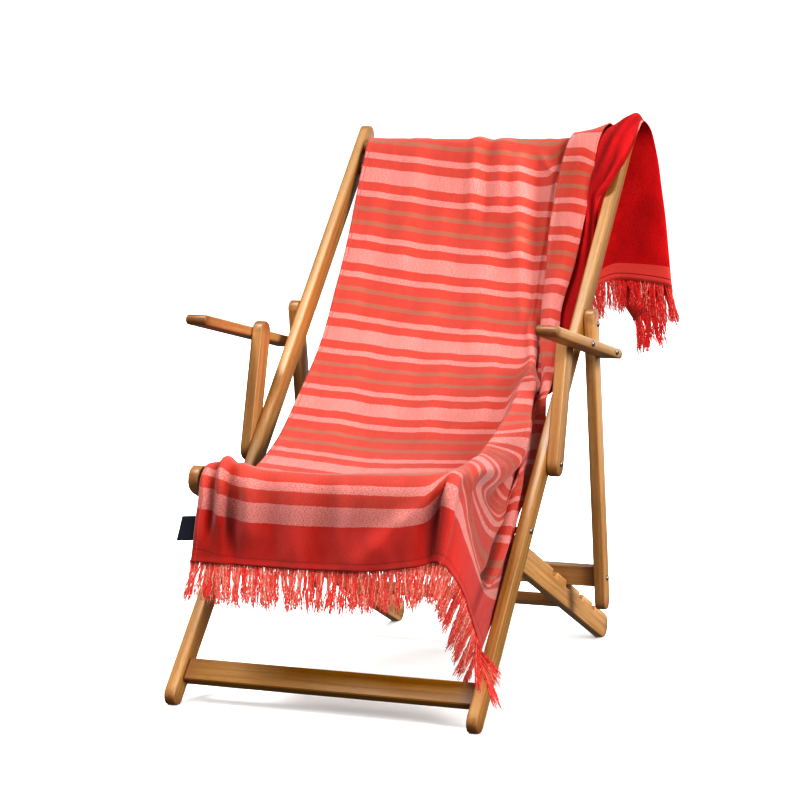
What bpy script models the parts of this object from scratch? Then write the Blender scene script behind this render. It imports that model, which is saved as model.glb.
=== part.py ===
"""Hammam towel draped over a folding wooden deck chair.

Frame while building: X to the viewer's right across the chair, +Y to the back, +Z up, origin on
the chair's middle plane under the centre of the long rails' feet. Millimetres; M turns them into
metres. At the end everything moves together, so that the origin is the bottom centre of the whole.
"""
import math

import bmesh
import bpy
import numpy as np
from mathutils import Matrix, Vector

M = 0.001

# ---------------------------------------------------------------- driving dimensions: chair
FRAME_HALF = 290.0      # half the outer width over the long rails
LONG_TILT = 41.67       # long rails, degrees from the vertical
LONG_LENGTH = 1347.6    # long rail, foot centre to top centre
LONG_THICK = 20.5       # across the chair
LONG_DEEP = 38.4
SEAT_HALF = 234.2       # half the outer width over the seat rails
SEAT_THICK = 20.0
SEAT_DEEP = 49.6
SEAT_FRONT = (-19.7, 404.8)     # y, z of the seat rail's front end centre
SEAT_REAR = (961.1, 24.8)       # y, z of its rear foot centre
PROP_TOP = (582.5, 675.2)
PROP_FOOT = (698.7, 121.8)
PROP_DEEP = 35.5
OUTER_THICK = 21.5      # prop rails and arm struts, outside the long rails
JOINT_GAP = 0.3         # gap where bolted pieces lie on each other
STRUT_TOP = (413.7, 638.2)
STRUT_FOOT = (364.5, 418.9)
STRUT_DEEP = 42.1
ARM_FRONT = (199.6, 668.7)
ARM_REAR = (609.1, 607.8)
ARM_DEEP = 18.7
ARM_WIDE = 41.5
TOP_BAR = (865.0, 999.0)
TOP_BAR_RADIUS = 14.0
SLING_ROD = (843.7, 955.0)
SLING_ROD_RADIUS = 12.0
FRONT_BAR = (-20.0, 404.0)
FRONT_BAR_RADIUS = 14.0
NOTCH_Y = (606.0, 696.0, 790.0, 882.0)
NOTCH_WIDE = 29.0
NOTCH_DEEP = 13.0
PROP_BAR = (692.5, 170.5)
PROP_BAR_DEEP = 20.0
PROP_BAR_HIGH = 40.0
STRETCHER_ALONG = 51.0  # centre of the front stretcher, along the long rail
STRETCHER_HIGH = 44.0
STRETCHER_THICK = 19.0
REAR_BAR_ALONG = 826.0  # centre of the rear crossbar, along the seat rail
REAR_BAR_HIGH = 36.0
REAR_BAR_THICK = 20.0
STRETCHER_BACK = 2.0    # how far its middle lies behind the long rails' centre line
BOARD_CORNER = 2.0      # bevel along the crossbars' edges
PIVOT_ALONG = 391.0     # bolt through long rail and seat rail, along the long rail
SPACER_RADIUS = 6.0     # tube on that bolt, between the two rails
BOLT_PROP = (590.0, 664.0)      # y, z of the bolts outside the long rails
BOLT_PROP_BAR = (690.0, 168.0)
BOLT_STRUT = (366.0, 421.0)
BOLT_ARM_REAR = (575.0, 613.0)
BOLT_ARM_FRONT = (412.0, 637.0)
BOLT_HEAD = ((0.4, 5.0), (1.6, 5.0), (2.8, 3.0))    # height off the rail, radius
ROUND_SIDES = 16        # sides of the turned bars
SPACER_SIDES = 10
BOLT_SIDES = 8
CLEAR = 0.5             # gap at the ends of the crossbars
FOOT_CUT = 1.5          # height at which the rounded feet are cut flat

# ---------------------------------------------------------------- driving dimensions: cloth
CLOTH_WIDE = 850.0
CLOTH_LONG = 1750.0
CLOTH_THICK = 2.0
# Grid of the solid: from this place on, lines are this far apart. Finer at the bends and folds.
ALONG_GRID = ((0, 36), (140, 10), (240, 43), (1274, 24), (1322, 12.5), (1498, 42), (1750, 0))
ACROSS_GRID = ((0, 19), (114, 39), (466, 17), (850, 0))
LABEL_CORNERS = ((-211.6, 346.0), (-238.0, 344.0), (-248.0, 301.0), (-217.4, 303.0))    # x, z
LABEL_PLACE = -54.2     # y of its front
LABEL_THICK = 0.8
SLING_HALF = 200.0
SLING_THICK = 1.5
# How far the canvas lies under the towel's middle, so that it ends on its bar and rod. v, drop.
SLING_DROP = ((176, 6.2), (235, 3.6), (1150, 3.6), (1288, 10.4))
SLING_GRID = ((176, 8), (232, 42), (1246, 14), (1288, 0))
FRINGE_LONG = 60.0
FRINGE_THICK = 2.4
FRONT_STRANDS = 106
REAR_STRANDS = 84
STRAND_UNEVEN = 0.13    # share by which strands are longer or shorter
STRAND_SWAY = (5.0, 4.0)        # how far their tips stray along the hem and across it
STRAND_RINGS = ((0.5, 0.72), (1.0, 0.5))    # share of the length, share of the root's width
CORNER_FROM = 0.8       # share of the front hem after which strands lean off the rail
CORNER_LEAN = 0.9       # how far they lean at the corner, to the front for each step down
CORNER_ASIDE = 0.5      # share of that lean that goes to the right
STRIP_HIGH = 5.0
STRIP_GAP = 1.0

# Middle of the towel from its front end (v = 0) over the front bar, seat, backrest and top bar.
# Columns: v along the cloth, y, z.
MIDDLE = (
    (0, -50, 265), (90, -52, 345), (138, -49, 394), (150, -44, 408), (162, -34, 419),
    (173, -23, 425), (184, -12, 425), (196, 0, 420), (225, 25, 405), (286, 78, 382),
    (380, 168, 379), (478, 254, 401), (580, 347, 443), (682, 431, 501), (784, 513, 562),
    (886, 590, 628), (988, 658, 704), (1090, 720, 785), (1192, 774, 871), (1294, 823, 961),
    (1338, 844, 1001), (1352, 854, 1012), (1365, 866, 1017), (1377, 878, 1015), (1388, 887, 1008),
    (1399, 892, 998), (1430, 896, 967), (1480, 901, 917), (1750, 915, 650),
)
STRIPE_SLOPE = 0.10     # how far the cloth lies skewed on the chair, per mm across
SKEW_MIDDLE = -60.0     # x at which the skewed cloth keeps its place
SKEW_RAMPS = ((150.0, 350.0), (1500.0, 1400.0))     # v from which and to which it is skewed

# Where an end is pulled up towards the right corner. Columns: height, x from which, x to which,
# v from which, v to which, how much more steeply than evenly.
HITCHES = ((21.0, 30.0, 200.0, 160.0, 70.0, 1.5), (48.0, -90.0, 140.0, 1520.0, 1750.0, 1.6))
LIFT_REACH = 0.4545     # share of the flat part over which each edge's lift dies away

# Left hem and inner edge of the flat part. Columns: v, x of the left hem, its lift off the middle
# curve, x of the last flat column on the right, its lift.
FLAT = (
    (0, -223, 2, 200, 6), (90, -211, 2, 202, 5), (138, -206, 3, 203, 8), (158, -206, 3, 203, 10),
    (173, -207, 3, 203, 12), (192, -208, 7, 202, 13), (225, -211, 15, 201, 17), (286, -220, 18, 199, 20),
    (380, -228, 9, 198, 22), (478, -232, 5, 197, 24), (580, -234, 4, 196, 24), (682, -237, 4, 191, 26),
    (784, -240, 4, 182, 22), (865, -242, 8, 174, 10), (988, -246, 14, 150, 4), (1192, -253, 14, 140, 4),
    (1294, -256, 7, 138, 4), (1365, -258, 1, 140, 1), (1402, -256, 1, 144, 1), (1480, -250, 0, 144, 2),
    (1750, -236, 0, 120, 4),
)

# Right part of the towel, one row per station along the cloth. Columns: v, then seven x, y, z.
# Up to v = 672 they are the rim, roll, tuck, trough, crest, gutter and right hem of the curtain
# that falls inside the rail. From v = 760 they are the main cloth, its run under the flap, the
# right fold edge, the turned layer, the left fold edge, the flap and the right hem.
FOLDS = (
    (0, (224, -52, 292), (238, -44, 286), (249, -33, 268), (258, -15, 243), (266, 12, 192),
     (268, 36, 158), (268, 58, 128)),
    (93, (237, -53, 398), (250, -22, 372), (255, 2, 335), (261, 32, 288), (266, 77, 230),
     (265, 125, 214), (262, 177, 204)),
    (115, (240, -48, 424), (250, -8, 386), (254, 12, 343), (259, 44, 287), (266, 84, 231),
     (264, 136, 223), (262, 190, 218)),
    (138, (241, -27, 440), (250, 8, 400), (253, 24, 350), (257, 56, 287), (266, 92, 234),
     (263, 148, 232), (262, 203, 233)),
    (190, (240, 26, 442), (254, 32, 408), (251, 42, 360), (256, 85, 280), (265, 130, 252),
     (261, 186, 262), (262, 233, 264)),
    (243, (239, 74, 449), (261, 60, 434), (248, 58, 408), (254, 130, 327), (261, 212, 303),
     (257, 224, 300), (266, 238, 297)),
    (286, (237, 106, 453), (262, 116, 429), (248, 90, 402), (254, 180, 330), (260, 234, 335),
     (256, 246, 332), (266, 256, 330)),
    (329, (237, 133, 456), (262, 160, 423), (247, 127, 394), (252, 197, 342), (258, 267, 365),
     (254, 288, 364), (263, 310, 360)),
    (380, (237, 150, 462), (262, 215, 427), (247, 168, 388), (250, 218, 354), (257, 285, 390),
     (252, 322, 394), (262, 352, 387)),
    (436, (237, 172, 469), (262, 276, 437), (246, 212, 394), (249, 246, 368), (256, 300, 414),
     (251, 354, 424), (262, 402, 420)),
    (479, (236, 194, 476), (262, 308, 458), (245, 258, 414), (248, 288, 388), (254, 328, 440),
     (249, 380, 456), (262, 427, 457)),
    (522, (235, 222, 485), (260, 330, 482), (243, 288, 438), (246, 312, 410), (252, 356, 466),
     (247, 402, 490), (262, 428, 488)),
    (600, (232, 308, 518), (255, 363, 510), (239, 340, 476), (243, 352, 456), (249, 388, 500),
     (246, 418, 518), (262, 430, 527)),
    (672, (222, 402, 556), (243, 420, 553), (234, 412, 538), (242, 400, 510), (248, 432, 535),
     (251, 451, 552), (261, 463, 552)),
    (715, (218, 436, 567), (237, 446, 562), (243, 442, 542), (250, 452, 523), (238, 480, 566),
     (242, 492, 580), (255, 500, 578)),
    (760, (214, 474, 577), (230, 467, 569), (256, 473, 539), (241, 500, 571), (216, 538, 611),
     (233, 534, 614), (251, 537, 609)),
    (865, (200, 547, 607), (214, 551, 602), (258, 548, 597), (225, 586, 650), (191, 625, 699),
     (212, 619, 704), (233, 621, 698)),
    (960, (176, 617, 671), (200, 621, 666), (259, 616, 662), (217, 650, 724), (181, 686, 778),
     (209, 679, 780), (238, 681, 773)),
    (1058, (171, 680, 746), (200, 684, 742), (260, 678, 737), (217, 706, 799), (173, 736, 857),
     (207, 729, 859), (239, 733, 852)),
    (1150, (169, 733, 821), (202, 736, 817), (261, 729, 811), (219, 752, 874), (173, 778, 930),
     (208, 770, 933), (242, 775, 927)),
    (1251, (163, 784, 908), (208, 782, 904), (262, 756, 897), (229, 792, 957), (181, 822, 1010),
     (212, 814, 1013), (240, 816, 1004)),
    (1276, (166, 800, 936), (222, 789, 934), (279, 762, 921), (240, 811, 989), (186, 846, 1027),
     (214, 842, 1033), (243, 846, 1038)),
    (1310, (172, 824, 976), (230, 815, 976), (290, 782, 948), (254, 828, 1015), (190, 880, 1030),
     (217, 880, 1038), (246, 882, 1050)),
    (1345, (180, 846, 1013), (240, 836, 1006), (299, 805, 972), (269, 853, 1045), (194, 909, 1002),
     (222, 915, 1014), (250, 918, 1036)),
    (1380, (188, 868, 1021), (256, 854, 1020), (305, 830, 998), (283, 880, 1064), (196, 919, 968),
     (226, 928, 972), (256, 937, 1000)),
    (1420, (192, 897, 1003), (264, 876, 1046), (309, 857, 1030), (294, 908, 1070), (196, 926, 929),
     (228, 935, 931), (262, 946, 954)),
    (1460, (191, 906, 961), (262, 908, 1053), (311, 894, 1055), (302, 932, 1050), (198, 933, 888),
     (232, 942, 890), (268, 954, 906)),
    (1500, (186, 911, 916), (250, 936, 1012), (318, 932, 1034), (307, 954, 1004), (202, 943, 848),
     (238, 952, 850), (276, 962, 862)),
    (1620, (174, 918, 798), (248, 938, 882), (341, 947, 900), (308, 972, 850), (222, 972, 744),
     (258, 982, 746), (296, 990, 752)),
    (1750, (175, 928, 708), (254, 950, 738), (358, 964, 722), (319, 992, 692), (272, 1006, 652),
     (294, 1014, 656), (320, 1022, 668)),
)
# Where the columns lie across the flat cloth, left hem to right hem.
FLAT_COLUMNS = (0.0, 110.0, 230.0, 350.0, 470.0)
FOLD_COLUMNS = (515.0, 565.0, 615.0, 670.0, 725.0, 785.0, 850.0)
# The bunched front left corner. Columns: u, width, height, of its ridges on the bar and of the
# pleats that run down from them.
BUNCH_AT = (176.0, 26.0)        # v and width of the ridges
BUNCH_RIDGES = ((38.0, 20.0, 17.0), (74.0, 18.0, 8.0))
BUNCH_PLEATS = ((60.0, 12.0, 8.0), (84.0, 14.0, -4.8))
PLEAT_RAMP = (185.0, 125.0)     # v from which and to which the pleats grow
PLEAT_FADE = (90.0, 0.3)        # v below which they fade, and the share left at the end

# ---------------------------------------------------------------- colours, roughness, metal
WOOD = ((0.62, 0.36, 0.14), 0.6, 0.0)
STEEL = ((0.45, 0.45, 0.43), 0.35, 1.0)
CANVAS = ((0.75, 0.7, 0.6), 0.9, 0.0)
RED_COTTON = ((0.9, 0.11, 0.07), 0.9, 0.0)
RED_YARN = ((0.85, 0.12, 0.1), 0.9, 0.0)
NAVY_SATIN = ((0.01, 0.012, 0.035), 0.8, 0.0)

# ---------------------------------------------------------------- curves
def slopes(keys, values):
    """Monotone end-to-end slopes of a table, column by column."""
    step = np.diff(keys)[:, None]
    rate = np.diff(values, axis=0) / step
    out = np.zeros_like(values)
    same = rate[:-1] * rate[1:] > 0
    before = 2 * step[1:] + step[:-1]
    after = step[1:] + 2 * step[:-1]
    with np.errstate(divide="ignore", invalid="ignore"):
        middle = (before + after) / (before / rate[:-1] + after / rate[1:])
    out[1:-1] = np.where(same, middle, 0.0)
    out[0] = rate[0]
    out[-1] = rate[-1]
    return out


def curve(keys, values, at):
    """Smooth curve through a table, read at the places `at`."""
    keys = np.asarray(keys, float)
    values = np.asarray(values, float)
    at = np.clip(np.asarray(at, float), keys[0], keys[-1])
    slope = slopes(keys, values)
    k = np.clip(np.searchsorted(keys, at, side="right") - 1, 0, len(keys) - 2)
    step = keys[k + 1] - keys[k]
    t = ((at - keys[k]) / step)[..., None]
    step = step[..., None]
    return ((1 + 2 * t) * (1 - t) ** 2 * values[k] + t * (1 - t) ** 2 * step * slope[k]
            + t * t * (3 - 2 * t) * values[k + 1] + t * t * (t - 1) * step * slope[k + 1])


def middle_curve(v):
    table = np.array(MIDDLE, float)
    return curve(table[:, 0], table[:, 1:], v)


def middle_up(v):
    """Unit normal of the middle curve, on the striped side."""
    along = middle_curve(np.asarray(v) + 3.0) - middle_curve(np.asarray(v) - 3.0)
    along /= np.linalg.norm(along, axis=-1, keepdims=True)
    return np.stack([-along[..., 1], along[..., 0]], -1)


def ramp(at, start, stop):
    """0 before start, 1 beyond stop, even between them; stop may be the lower one."""
    return np.clip((at - start) / (stop - start), 0, 1)


def hump(at, centre, width):
    return np.exp(-((at - centre) / width) ** 2)


def flat_part(v, x, lift):
    """A point of the flat part of the towel: v along it, x across, lift off the middle curve."""
    on_chair = ramp(v, *SKEW_RAMPS[0]) * ramp(v, *SKEW_RAMPS[1])
    v_here = v - STRIPE_SLOPE * (x - SKEW_MIDDLE) * on_chair
    yz = middle_curve(v_here) + middle_up(v_here) * lift[..., None]
    for high, x_from, x_to, v_from, v_to, power in HITCHES:
        yz[..., 1] += high * ramp(x, x_from, x_to) ** power * ramp(v, v_from, v_to)
    return np.concatenate([x[..., None], yz], -1)


def flat_columns(v):
    """The flat part's lattice columns at the places v along the cloth."""
    table = np.array(FLAT, float)
    left, left_lift, right, right_lift = curve(table[:, 0], table[:, 1:], v).T
    columns = []
    for u in FLAT_COLUMNS:
        part = u / FLAT_COLUMNS[-1]
        near_left = max(0.0, 1 - part / LIFT_REACH)
        near_right = max(0.0, 1 - (1 - part) / LIFT_REACH)
        lift = left_lift * near_left + right_lift * near_right
        columns.append(flat_part(v, left * (1 - part) + right * part, lift))
    return np.stack(columns, 1)


def fold_columns(v):
    """The folded right part's lattice columns at the places v along the cloth."""
    rows = np.array([row[0] for row in FOLDS], float)
    net = np.array([row[1:] for row in FOLDS], float)
    return curve(rows, net.reshape(len(rows), -1), v).reshape(len(v), -1, 3)


def corner_bunch(u, v):
    """How far the bunched front left corner and its two soft pleats stand off the cloth."""
    ridges = sum(high * hump(u, at, wide) for at, wide, high in BUNCH_RIDGES)
    pleats = sum(high * hump(u, at, wide) for at, wide, high in BUNCH_PLEATS)
    hang = ramp(v, *PLEAT_RAMP) * np.clip(v / PLEAT_FADE[0], PLEAT_FADE[1], 1)
    return hump(v, *BUNCH_AT) * ridges + hang * pleats


def towel_middle(u_lines, v_lines):
    """Middle surface of the towel on a grid of u across and v along, in millimetres."""
    columns = np.concatenate([flat_columns(v_lines), fold_columns(v_lines)], 1)
    out = np.stack([curve(FLAT_COLUMNS + FOLD_COLUMNS, row, u_lines) for row in columns])
    u_grid, v_grid = np.meshgrid(u_lines, v_lines)
    out[..., 1:] += corner_bunch(u_grid, v_grid)[..., None] * middle_up(v_lines)[:, None, :]
    return out


def sheet_normals(points):
    du = np.gradient(points, axis=1)
    dv = np.gradient(points, axis=0)
    n = np.cross(du, dv)
    return n / np.maximum(np.linalg.norm(n, axis=-1, keepdims=True), 1e-9)


# ---------------------------------------------------------------- mesh helpers
def material(name, colour, rough, metallic):
    mat = bpy.data.materials.new(name)
    mat.use_nodes = True
    shader = mat.node_tree.nodes["Principled BSDF"]
    shader.inputs["Base Color"].default_value = (*colour, 1)
    shader.inputs["Roughness"].default_value = rough
    shader.inputs["Metallic"].default_value = metallic
    return mat


def add_object(name, points, faces, looks):
    mesh = bpy.data.meshes.new(name)
    mesh.from_pydata([tuple(p) for p in np.asarray(points) * M], [], faces)
    mesh.validate()
    mesh.materials.append(material(name + "_surface", *looks))
    obj = bpy.data.objects.new(name, mesh)
    bpy.context.scene.collection.objects.link(obj)


ARC = [math.radians(a) for a in (-90, -60, -30, 0, 30, 60, 90)]


def extrude_outline(name, outline, x_low, x_high, looks=WOOD):
    """Solid from a convex or notched (y, z) outline, extruded across the chair."""
    count = len(outline)
    points = [(x_low, y, z) for y, z in outline] + [(x_high, y, z) for y, z in outline]
    faces = [tuple(range(count - 1, -1, -1)), tuple(range(count, 2 * count))]
    faces += [(i, (i + 1) % count, (i + 1) % count + count, i + count) for i in range(count)]
    add_object(name, points, faces, looks)


def rail_outline(start, end, deep, notches=()):
    """Side outline of a rail with rounded ends. A foot gets a small flat to stand on.

    Notches are (distance along the rail, width, depth) cut in the upper edge.
    """
    start = np.array(start, float)
    end = np.array(end, float)
    along = (end - start) / np.linalg.norm(end - start)
    up = np.array([-along[1], along[0]])
    if up[1] < 0:
        up = -up
    half = deep / 2
    length = np.linalg.norm(end - start)
    cap_end = [(length + half * math.cos(a), half * math.sin(a)) for a in ARC]
    cap_start = [(-half * math.cos(a), -half * math.sin(a)) for a in ARC]
    upper = []
    for where, wide, down in sorted(notches, reverse=True):
        upper += [(where + wide / 2, half), (where + wide / 2, half - down),
                  (where - wide / 2, half - down), (where - wide / 2, half)]
    loop = cap_end + upper + cap_start
    points = [start + along * a + up * b for a, b in loop]
    return [(p[0], max(p[1], FOOT_CUT)) for p in points]


def rail_pair(name, start, end, deep, inner, outer, notches=()):
    outline = rail_outline(start, end, deep, notches)
    if polygon_area(outline) < 0:
        outline = outline[::-1]
    extrude_outline(name + "_right", outline, inner, outer)
    extrude_outline(name + "_left", outline, -outer, -inner)


def polygon_area(outline):
    total = 0.0
    for (a, b), (c, d) in zip(outline, outline[1:] + outline[:1]):
        total += a * d - c * b
    return total / 2


def circle_outline(centre, radius, sides):
    turns = [2 * math.pi * i / sides for i in range(sides)]
    return [(centre[0] + radius * math.cos(a), centre[1] + radius * math.sin(a)) for a in turns]


def round_bar(name, centre, radius, half_length):
    extrude_outline(name, circle_outline(centre, radius, ROUND_SIDES), -half_length, half_length)


def board(name, centre, along, thick, high, half_length):
    """Rectangular crossbar; `along` is the (y, z) direction its height follows."""
    along = np.array(along, float) / np.linalg.norm(along)
    side = np.array([along[1], -along[0]])
    centre = np.array(centre, float)
    outline = []
    for a, b in ((1, 1), (-1, 1), (-1, -1), (1, -1)):
        far = (side * a * thick / 2, along * b * high / 2)
        first = centre + far[0] + far[1] - along * b * BOARD_CORNER
        second = centre + far[0] + far[1] - side * a * BOARD_CORNER
        outline += [first, second] if a * b > 0 else [second, first]
    outline = [tuple(p) for p in outline]
    if polygon_area(outline) < 0:
        outline = outline[::-1]
    extrude_outline(name, outline, -half_length, half_length)


def bolt(name, x_face, centre, side):
    """Domed bolt head just off a rail's face; `side` is the way it looks along X."""
    count = BOLT_SIDES
    points = []
    for off, radius in BOLT_HEAD:
        points += [(x_face + side * off, y, z) for y, z in circle_outline(centre, radius, count)]
    faces = [tuple(range(count - 1, -1, -1)), tuple(range(2 * count, 3 * count))]
    for ring in range(len(BOLT_HEAD) - 1):
        for i in range(count):
            j = (i + 1) % count
            a, b = ring * count, (ring + 1) * count
            faces.append((a + i, a + j, b + j, b + i))
    if side < 0:
        faces = [f[::-1] for f in faces]
    add_object(name, points, faces, STEEL)


def closed_sheet(name, top, bottom, looks):
    """Closed solid between two grids of the same shape."""
    rows, cols = top.shape[:2]
    points = np.concatenate([top.reshape(-1, 3), bottom.reshape(-1, 3)])
    size = rows * cols
    faces = []
    for j in range(rows - 1):
        for i in range(cols - 1):
            a = j * cols + i
            faces.append((a, a + 1, a + cols + 1, a + cols))
            faces.append((size + a + cols, size + a + cols + 1, size + a + 1, size + a))
    rim = [(0, i) for i in range(cols)] + [(j, cols - 1) for j in range(1, rows)]
    rim += [(rows - 1, i) for i in range(cols - 2, -1, -1)] + [(j, 0) for j in range(rows - 2, 0, -1)]
    rim = [j * cols + i for j, i in rim]
    for a, b in zip(rim, rim[1:] + rim[:1]):
        faces.append((b, a, a + size, b + size))
    add_object(name, points, faces, looks)


# ---------------------------------------------------------------- chair
def long_rail_point(along, off=0.0):
    """(y, z) at a distance along the long rail's centre line, `off` to its front side."""
    tilt = math.radians(LONG_TILT)
    y = along * math.sin(tilt) - off * math.cos(tilt)
    z = LONG_DEEP / 2 + along * math.cos(tilt) + off * math.sin(tilt)
    return y, z


def build_chair():
    rail_pair("long_rail", long_rail_point(0), long_rail_point(LONG_LENGTH), LONG_DEEP,
              FRAME_HALF - LONG_THICK, FRAME_HALF)
    seat_length = math.dist(SEAT_FRONT, SEAT_REAR)
    slope = (SEAT_REAR[0] - SEAT_FRONT[0]) / seat_length
    lean = math.sqrt(1 - slope * slope) * SEAT_DEEP / 2
    notches = [((y - lean - SEAT_FRONT[0]) / slope, NOTCH_WIDE, NOTCH_DEEP) for y in NOTCH_Y]
    rail_pair("seat_rail", SEAT_FRONT, SEAT_REAR, SEAT_DEEP, SEAT_HALF - SEAT_THICK, SEAT_HALF,
              notches)
    outer_inner = FRAME_HALF + JOINT_GAP
    rail_pair("prop_rail", PROP_TOP, PROP_FOOT, PROP_DEEP, outer_inner, outer_inner + OUTER_THICK)
    rail_pair("arm_strut", STRUT_TOP, STRUT_FOOT, STRUT_DEEP, outer_inner, outer_inner + OUTER_THICK)
    arm_inner = outer_inner + OUTER_THICK + JOINT_GAP
    rail_pair("armrest", ARM_FRONT, ARM_REAR, ARM_DEEP, arm_inner, arm_inner + ARM_WIDE)

    inside_long = FRAME_HALF - LONG_THICK - CLEAR
    inside_seat = SEAT_HALF - SEAT_THICK - CLEAR
    round_bar("top_crossbar", TOP_BAR, TOP_BAR_RADIUS, inside_long)
    round_bar("sling_rod", SLING_ROD, SLING_ROD_RADIUS, inside_long)
    round_bar("front_bar", FRONT_BAR, FRONT_BAR_RADIUS, inside_seat)
    tilt = math.radians(LONG_TILT)
    board("front_stretcher", long_rail_point(STRETCHER_ALONG, -STRETCHER_BACK),
          (math.sin(tilt), math.cos(tilt)), STRETCHER_THICK, STRETCHER_HIGH, inside_long)
    seat_dir = np.subtract(SEAT_REAR, SEAT_FRONT) / seat_length
    rear = np.array(SEAT_FRONT) + seat_dir * REAR_BAR_ALONG
    board("rear_crossbar", rear, seat_dir, REAR_BAR_THICK, REAR_BAR_HIGH, inside_seat)
    board("prop_crossbar", PROP_BAR, np.subtract(PROP_TOP, PROP_FOOT), PROP_BAR_DEEP, PROP_BAR_HIGH,
          outer_inner - CLEAR)

    pivot = long_rail_point(PIVOT_ALONG)
    for side, name in ((1, "right"), (-1, "left")):
        ends = sorted((side * (SEAT_HALF + JOINT_GAP), side * (FRAME_HALF - LONG_THICK - JOINT_GAP)))
        spacer = circle_outline(pivot, SPACER_RADIUS, SPACER_SIDES)
        extrude_outline("pivot_spacer_" + name, spacer, *ends, STEEL)

    pivots = (
        ("bolt_seat", FRAME_HALF, pivot),
        ("bolt_prop", outer_inner + OUTER_THICK, BOLT_PROP),
        ("bolt_prop_bar", outer_inner + OUTER_THICK, BOLT_PROP_BAR),
        ("bolt_strut", outer_inner + OUTER_THICK, BOLT_STRUT),
        ("bolt_arm_rear", arm_inner + ARM_WIDE, BOLT_ARM_REAR),
        ("bolt_arm_front", arm_inner + ARM_WIDE, BOLT_ARM_FRONT),
    )
    for name, face, centre in pivots:
        bolt(name + "_right", face, centre, 1)
        bolt(name + "_left", -face, centre, -1)


def build_sling():
    """Canvas under the towel, from the front bar to the sling rod."""
    drop_table = np.array(SLING_DROP, float)
    v = grid_lines(SLING_GRID)
    drop = curve(drop_table[:, 0], drop_table[:, 1:], v)
    yz = middle_curve(v)
    up = middle_up(v)
    x = np.linspace(-SLING_HALF, SLING_HALF, 3)
    top = np.zeros((len(v), len(x), 3))
    bottom = np.zeros_like(top)
    for grid, side in ((top, -1), (bottom, 1)):
        place = yz - up * (drop + side * SLING_THICK / 2)
        grid[..., 0] = x
        grid[..., 1] = place[:, None, 0]
        grid[..., 2] = place[:, None, 1]
    closed_sheet("sling_canvas", top, bottom, CANVAS)


# ---------------------------------------------------------------- towel and fringe
def build_towel():
    middle = towel_middle(grid_lines(ACROSS_GRID), grid_lines(ALONG_GRID))
    normal = sheet_normals(middle)
    half = CLOTH_THICK / 2
    closed_sheet("towel", middle + normal * half, middle - normal * half, RED_COTTON)


def grid_lines(table):
    """Places of the grid lines from (start, step) pairs; the last pair only ends the grid."""
    lines = []
    for (start, step), (stop, _) in zip(table, table[1:]):
        count = max(1, round((stop - start) / step))
        lines += [start + (stop - start) * i / count for i in range(count)]
    return np.array(lines + [table[-1][0]], float)


def unit(vectors):
    return vectors / np.linalg.norm(vectors, axis=-1, keepdims=True)


def edge_frame(at_end, count):
    """Points along an end of the towel's solid and the directions there."""
    u_lines = grid_lines(ACROSS_GRID)
    v_lines = grid_lines(ALONG_GRID)
    two = v_lines[-2:] if at_end else v_lines[:2]
    both = towel_middle(u_lines, two)
    end, inside = (both[1], both[0]) if at_end else (both[0], both[1])
    out = unit(end - inside)
    along = unit(np.gradient(end, axis=0))
    face = unit(np.cross(along, out))
    u = np.linspace(0, CLOTH_WIDE, count)
    fine = [np.stack([np.interp(u, u_lines, grid[:, k]) for k in range(3)], -1)
            for grid in (end, out, along, face)]
    return fine[0], unit(fine[1]), unit(fine[2]), unit(fine[3])


def wobble(i, k):
    """Repeatable uneven number from -1 to 1."""
    value = math.sin(12.9898 * i + 78.233 * k + 3.7) * 43758.5453
    return 2 * (value - math.floor(value)) - 1


def build_fringe(name, at_end, strands, corner_lean):
    """Root strip along an end of the towel with hanging strands fused into it.

    Every second face of the strip's lower side is left open, and a strand grows out of it.
    """
    count = strands * 2 + 1
    end, out, along, face = edge_frame(at_end, count)
    half = FRINGE_THICK / 2
    near = end + out * STRIP_GAP
    far = end + out * (STRIP_GAP + STRIP_HIGH)
    points = []
    faces = []
    for j in range(count):
        points += [near[j] + face[j] * half, near[j] - face[j] * half,
                   far[j] - face[j] * half, far[j] + face[j] * half]
    for j in range(count - 1):
        a = 4 * j
        b = a + 4
        for k in range(4):
            m = (k + 1) % 4
            if k != 2 or j % 2:
                faces.append((a + k, b + k, b + m, a + m))
    faces += [(0, 1, 2, 3), tuple(4 * count - n for n in (1, 2, 3, 4))]
    for j in range(0, count - 1, 2):
        a = 4 * j
        beside = ramp(j / count, CORNER_FROM, 1.0) * corner_lean
        down = np.array([CORNER_ASIDE * beside, -beside, -1.0])
        root = [a + 2, a + 3, a + 7, a + 6]
        length = FRINGE_LONG * (1 + STRAND_UNEVEN * wobble(j, 1))
        sway = along[j] * STRAND_SWAY[0] * wobble(j, 2) + face[j] * STRAND_SWAY[1] * wobble(j, 3)
        middle = (far[j] + far[j + 1]) / 2
        previous = root
        for part, narrow in STRAND_RINGS:
            lean = out[j] * (1 - part) + down * part
            lean /= np.linalg.norm(lean)
            place = middle + lean * length * part + sway * part
            ring = []
            for index in root:
                ring.append(len(points))
                points.append(place + (points[index] - middle) * narrow)
            for k in range(4):
                m = (k + 1) % 4
                faces.append((previous[k], previous[m], ring[m], ring[k]))
            previous = ring
        faces.append(tuple(previous))
    add_object(name, points, faces, RED_YARN)


def turn_outward(obj):
    mesh = bmesh.new()
    mesh.from_mesh(obj.data)
    bmesh.ops.recalc_face_normals(mesh, faces=mesh.faces)
    mesh.to_mesh(obj.data)
    mesh.free()


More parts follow.
